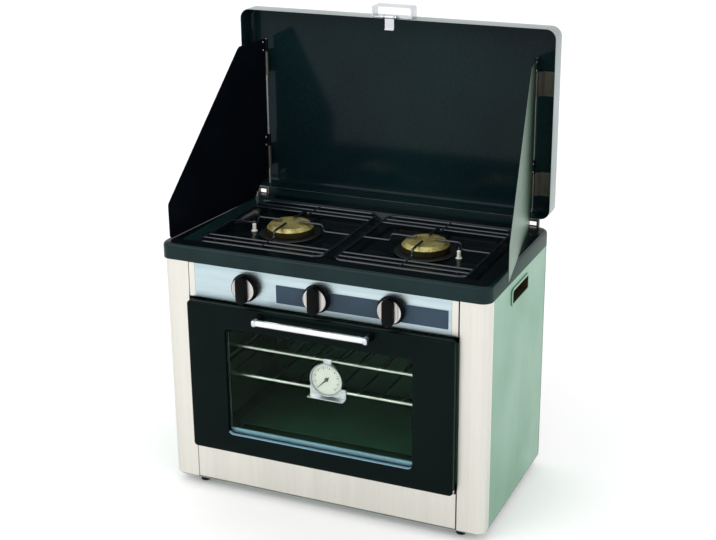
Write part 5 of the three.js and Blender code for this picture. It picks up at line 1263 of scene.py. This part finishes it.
@dataclass
class Lid(Assembly):
    """The pressed lid with its latch, hinges and two folding windscreens."""

    half_width: float = 263.0
    bottom: float = 403.3
    top: float = 698.3
    lip: float = 279.3
    depth: float = 36.0
    screen_x: float = 227.0
    screen_y: dict[Side, float] = field(default_factory=lambda: {Side.LEFT: 297.3, Side.RIGHT: 305.3})
    splay: dict[Side, float] = field(default_factory=lambda: {Side.LEFT: 5.5, Side.RIGHT: 10.5})
    leaf_levels: tuple[float, float] = (450.0, 608.5)
    screen_low: float = 391.7
    screen_notch: float = 414.7
    screen_front: float = 446.0
    screen_top: float = 649.3
    screen_length: float = 285.0
    screen_short: float = 80.0
    rod_foot: float = 404.9
    knuckle: float = 3.4
    hinge_x: tuple[float, float] = (229.0, 241.0)
    hinge_pin: tuple[float, float] = (287.3, 400.0)
    hinge_radius: float = 3.6
    latch_half: float = 32.2
    corner_steps: int = 10

    def build(self) -> None:
        """Makes the lid and all it carries."""
        self.shell()
        self.latch()
        for side in Side:
            self.leaves(side)
            self.windscreen(side)
            self.hinge(side)

    def shell(self) -> None:
        """The lid's pressing: glossy dark inside, lighter painted outside, rolled lip.

        The pan is drawn flat and stood up: its depth runs back along y.
        """
        arc, bend, deep = np.radians(np.linspace(0, 90, 8)), 7, self.depth
        skin = bend - 1
        outer = np.concatenate([
            [[0, 0.8], [0, deep - 7.5]],
            np.stack([bend - bend * np.cos(arc), deep - bend + bend * np.sin(arc)], axis=1),
            [[12, deep], [60, deep]]])
        inner = np.concatenate([
            [[60, deep - 1], [12, deep - 1]],
            np.stack([bend - skin * np.sin(arc), deep - bend + skin * np.cos(arc)], axis=1),
            [[1, deep - 8], [1, 0.8]]])
        lip = np.array([[1, 0.8], [0.7, 0.1], [0.3, 0.1], [0, 0.8]])
        outside, inside = self.pressed(outer), self.pressed(inner)
        ring = 4 * (self.corner_steps + 1)
        outside.faces.append(np.arange(len(outside.points) - ring, len(outside.points))[None])
        inside.faces.append(np.arange(ring)[::-1][None])
        # The lid's enamel carries a broad teal-to-navy cloud: a painted reflection.
        body = self.piece("lid_pressing", combine(outside, inside, self.pressed(lip)), LID_ENAMEL_AND_REFLECTION, "lid",
                          "enamel", ["lid_shell"])
        heart = np.array([0, self.lip + deep * 0.4, (self.top + self.bottom) / 2])
        self.paint(body, LID_OUTER, lambda centre, normal: np.sum(normal * (centre - heart), axis=1) > 0)

    def pressed(self, rows: Points) -> Surface:
        """Lofts rings of the lid's outline, and stands them up behind the lip.

        Args:
            rows: Inset from the outline and depth behind the lip, one row for each ring.

        Returns:
            The open surface: point = (x, lip + depth, middle + z) for a ring drawn flat in x and z.
        """
        half_z, middle = (self.top - self.bottom) / 2, (self.top + self.bottom) / 2
        surface = loft(pan_rings(self.half_width, half_z, rows, self.corner_steps), caps=False)
        return surface.mapped([[1, 0, 0], [0, 0, 1], [0, 1, 0]]).moved(0, self.lip, middle)

    def latch(self) -> None:
        """The bright latch cover on the lid's front wall, and the tongue that swings on it."""
        seat, front, sheet, ear, half, tongue = self.top + 0.3, self.lip + 2, 1.6, 2.8, self.latch_half, 7.5
        line = fillet([[-half, seat], [-half, seat + 17.2], [half, seat + 17.2], [half, seat]], 3, 8)
        cover = bent_sheet(line, front, front + 22, "xz", sheet)
        base = block([1.2 - half, half - 1.2], [front, front + 22], [seat, seat + sheet], 0.5)
        y, z = self.lip - 6, seat + ear
        lug = combine(bar([9.5, y, z], [11.5, y, z], ear, 0.3),
                      block([9.5, 11.5], [y, front + sheet], [z - ear, z + ear], 0.4))
        pin = bar([-10.5, y, z], [10.5, y, z], 1.3, 0.2)
        self.piece("latch_cover", combine(cover, base, lug, lug.mirrored(), pin), CHROME_SATIN, "lid",
                   "chrome", ["latch_plate"])
        line = fillet([[y, z - 2], [y, z - 19], [y - 3, z - 19]], 1.5, 6)
        strip = bent_sheet(line, -tongue, tongue, "yz", sheet)
        barrel = bar([-tongue, y, z], [tongue, y, z], ear, 0.3)
        self.piece("latch_hook", combine(strip, barrel), CHROME_SATIN, "latch", "chrome", ["latch_tongue"])

    def leaves(self, side: Side) -> None:
        """Two bent leaves that hold the windscreen's rod, with their barrels and rivets.

        Args:
            side: Which side it stands on.
        """
        x, y, panel, half = self.screen_x, self.screen_y[side], self.lip + self.depth - 1, 19
        line = fillet([[256, panel - 0.3], [238, panel - 0.3], [x + 1.7, y + 1.7]], 1.5, 6)
        parts = []
        for level in self.leaf_levels:
            parts += [bent_sheet(line, level - half, level + half, "xy", 1.2),
                      bar([x, y, level - half], [x, y, level + half], self.knuckle, 0.4)]
            parts += rivet_heads([[0, 0], [2.4, 0], [2.0, 1.0], [0, 1.4]], [[1, 0, 0], [0, 0, -1], [0, 1, 0]],
                                 [[250, panel - 0.9, level - 12], [250, panel - 0.9, level + 12]])
        self.piece(f"screen_leaves_{side.label}", combine(*parts).on(side), LEAF_STEEL, "lid", "chrome")

    def windscreen(self, side: Side) -> None:
        """A sheet windscreen with its knuckles and rivets, and the rod it turns on.

        Args:
            side: Which side it stands on.
        """
        x, y, length, short = self.screen_x, self.screen_y[side], self.screen_length, self.screen_short
        low, notch, front, high = self.screen_low, self.screen_notch, self.screen_front, self.screen_top
        outline = np.array([[4.0, notch], [27, notch], [48, low], [length - 4, low], [length, low + 4],
                            [length, front - 2], [length - 1.5, front + 2], [short + 2.5, high - 2.5],
                            [short - 2, high], [4.0, high]])
        turn, half = math.radians(self.splay[side]), HALF_SHEET
        parts = [prism(outline * np.array([-1, 1]), -half, half, "yz")]
        for level in self.leaf_levels:
            parts += [bar([0, 0, level + 19.6], [0, 0, level + 39.6], self.knuckle, 0.4),
                      block([-half, half], [-5, -1.5], [level + 19.8, level + 39.4], 0.2)]
        spin = [[math.cos(turn), -math.sin(turn), 0], [math.sin(turn), math.cos(turn), 0], [0, 0, 1]]
        sheet = combine(*parts).mapped(spin).moved(x, y)
        body = f"windscreen_{side.label}"
        made = self.piece(f"screen_sheet_{side.label}", sheet.on(side), SCREEN_PAINT, body, "screen", [body],
                          bevel=0.25)
        outward = np.array([math.cos(turn) * side.value, math.sin(turn), 0])
        self.paint(made, SCREEN_OUTER, lambda centre, normal: normal @ outward > 0.7)
        places = [[0, -9, level + rise] for level in self.leaf_levels for rise in (23, 36)]
        heads = [head for face in (-1, 1)
                 for head in rivet_heads([[0, 0.45], [2.2, 0.45], [1.7, 1.2], [0, 1.5]],
                                         [[0, 0, face], [0, 1, 0], [-face, 0, 0]], places, 20)]
        self.piece(f"screen_rivets_{side.label}", combine(*heads).mapped(spin).moved(x, y).on(side),
                   CHROME_SATIN, body, "chrome")
        rod = bar([x, y, self.rod_foot], [x, y, high], 2.0, 0.4)
        self.piece(f"screen_rod_{side.label}", rod.on(side), ALUMINISED, f"rod_{side.label}", "chrome",
                   [f"windscreen_rod_{side.label}"])

    def hinge(self, side: Side) -> None:
        """A hinge of the lid: a finish for its fixed half, and the lid's own knuckle on the same pin.

        Args:
            side: Which side it stands on.
        """
        self.dress(LEAF_STEEL, f"lid_hinge_{side.label}")
        (start, end), (y, z) = self.hinge_x, self.hinge_pin
        knuckle = bar([start, y, z], [end, y, z], self.hinge_radius, 0.4)
        self.piece(f"lid_knuckle_{side.label}", knuckle.on(side), LEAF_STEEL, "lid", "chrome")


@dataclass
class GasTrain(Assembly):
    """Pipes, taps and the oven burner behind the panels."""

    def build(self) -> None:
        """Dresses the gas pieces, which keep their shape."""
        self.dress(BRASS, "gas_manifold", "gas_valve_left", "gas_valve_centre", "gas_valve_right")
        self.dress(ALUMINISED, "feed_pipe_left", "feed_pipe_right", "oven_burner")


def stand(right: Row, up: Row, back: Row, place_m: Row) -> Matrix:
    """The matrix of a camera or a lamp: its three axes and its place, as four columns."""
    matrix = np.eye(4)
    matrix[:3] = np.stack([right, up, back, place_m], axis=1)
    return Matrix(matrix.tolist())


@dataclass(frozen=True)
class Lamp:
    """A square soft light that faces the stove.

    Args:
        name: The light's name.
        place_m: Where it stands, in metres.
        size_m: Its width in metres.
        power: Its power in watts.
        aim_m: Where it points, in metres.
    """

    name: str
    place_m: tuple[float, float, float]
    size_m: float
    power: float
    aim_m: tuple[float, float, float] = (0.0, 0.0, 0.35)

    def build(self) -> None:
        """Hangs the light and turns it to the stove."""
        data = bpy.data.lights.new(self.name, "AREA")
        data.size = self.size_m
        data.energy = self.power
        lamp = bpy.data.objects.new(self.name, data)
        spot = np.array(self.place_m)
        back = spot - np.array(self.aim_m)
        back /= np.linalg.norm(back)
        right = np.cross([0, 0, 1], back)
        right /= np.linalg.norm(right)
        lamp.matrix_world = stand(right, np.cross(back, right), back, spot)
        bpy.context.scene.collection.objects.link(lamp)


@dataclass
class Studio:
    """The photograph's camera, a pale floor and soft lights."""

    lamps: tuple[Lamp, ...] = (Lamp("key", (-1.6, -2.6, 2.6), 2.4, 31.0),
                               Lamp("fill", (2.8, -0.8, 1.6), 2.2, 10.0))
    yaw: float = 23.77
    pitch: float = 20.23
    roll: float = -0.57
    place_m: tuple[float, float, float] = (0.819, -1.716, 1.081)
    focal_px: float = 1401.0
    film_mm: float = 36.0
    floor_z: float = -15.2
    floor_half_m: float = 40.0
    floor_glow: float = 0.06
    sky: float = 1.0

    def build(self) -> None:
        """Makes the camera, floor, world and lights."""
        self.camera()
        self.floor()
        self.world()
        for lamp in self.lamps:
            lamp.build()
        bpy.context.scene.view_settings.view_transform = "Standard"

    def camera(self) -> None:
        """Places the camera as it was fitted to the photograph's edges."""
        yaw, pitch, roll = (math.radians(a) for a in (self.yaw, self.pitch, self.roll))
        back = np.array([math.sin(yaw) * math.cos(pitch), -math.cos(yaw) * math.cos(pitch), math.sin(pitch)])
        right = np.array([math.cos(yaw), math.sin(yaw), 0.0])
        up = np.cross(back, right)
        one = math.cos(roll) * right + math.sin(roll) * up
        two = -math.sin(roll) * right + math.cos(roll) * up
        data = bpy.data.cameras.new("photo_camera")
        data.sensor_fit = "HORIZONTAL"
        data.sensor_width = self.film_mm
        data.lens = self.focal_px / PHOTO_WIDTH * self.film_mm
        data.dof.use_dof = False
        camera = bpy.data.objects.new("photo_camera", data)
        camera.matrix_world = stand(one, two, back, np.array(self.place_m) + ORIGIN)
        bpy.context.scene.collection.objects.link(camera)
        bpy.context.scene.camera = camera

    def floor(self) -> None:
        """A wide pale floor under the feet."""
        z, r = ORIGIN[2] + self.floor_z * MM, self.floor_half_m
        mesh = bpy.data.meshes.new("floor")
        mesh.from_pydata([(-r, -r, z), (r, -r, z), (r, r, z), (-r, r, z)], [], [(0, 1, 2, 3)])
        material = bpy.data.materials.new("studio_floor")
        material.use_nodes = True
        shader = material.node_tree.nodes["Principled BSDF"]
        shader.inputs["Base Color"].default_value = linear("FFFFFF")
        shader.inputs["Roughness"].default_value = 0.9
        shader.inputs["Emission Color"].default_value = linear("FFFFFF")
        shader.inputs["Emission Strength"].default_value = self.floor_glow
        mesh.materials.append(material)
        floor = bpy.data.objects.new("floor", mesh)
        bpy.context.scene.collection.objects.link(floor)

    def world(self) -> None:
        """Even white light from all round."""
        world = bpy.data.worlds.new("studio")
        world.use_nodes = True
        background = world.node_tree.nodes["Background"]
        background.inputs["Color"].default_value = linear("FFFFFF")
        background.inputs["Strength"].default_value = self.sky
        bpy.context.scene.world = world


def main() -> None:
    """Builds the stove's looks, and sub-assembly by sub-assembly."""
    Studio().build()
    for assembly in (Cabinet(), Controls(), OvenDoor(), OvenInside(), Hob(), Lid(), GasTrain()):
        assembly.build()
        log.info("%s: %d pieces", type(assembly).__name__, len(assembly.made))
    bpy.context.view_layer.update()


if __name__ == "__main__":
    main()
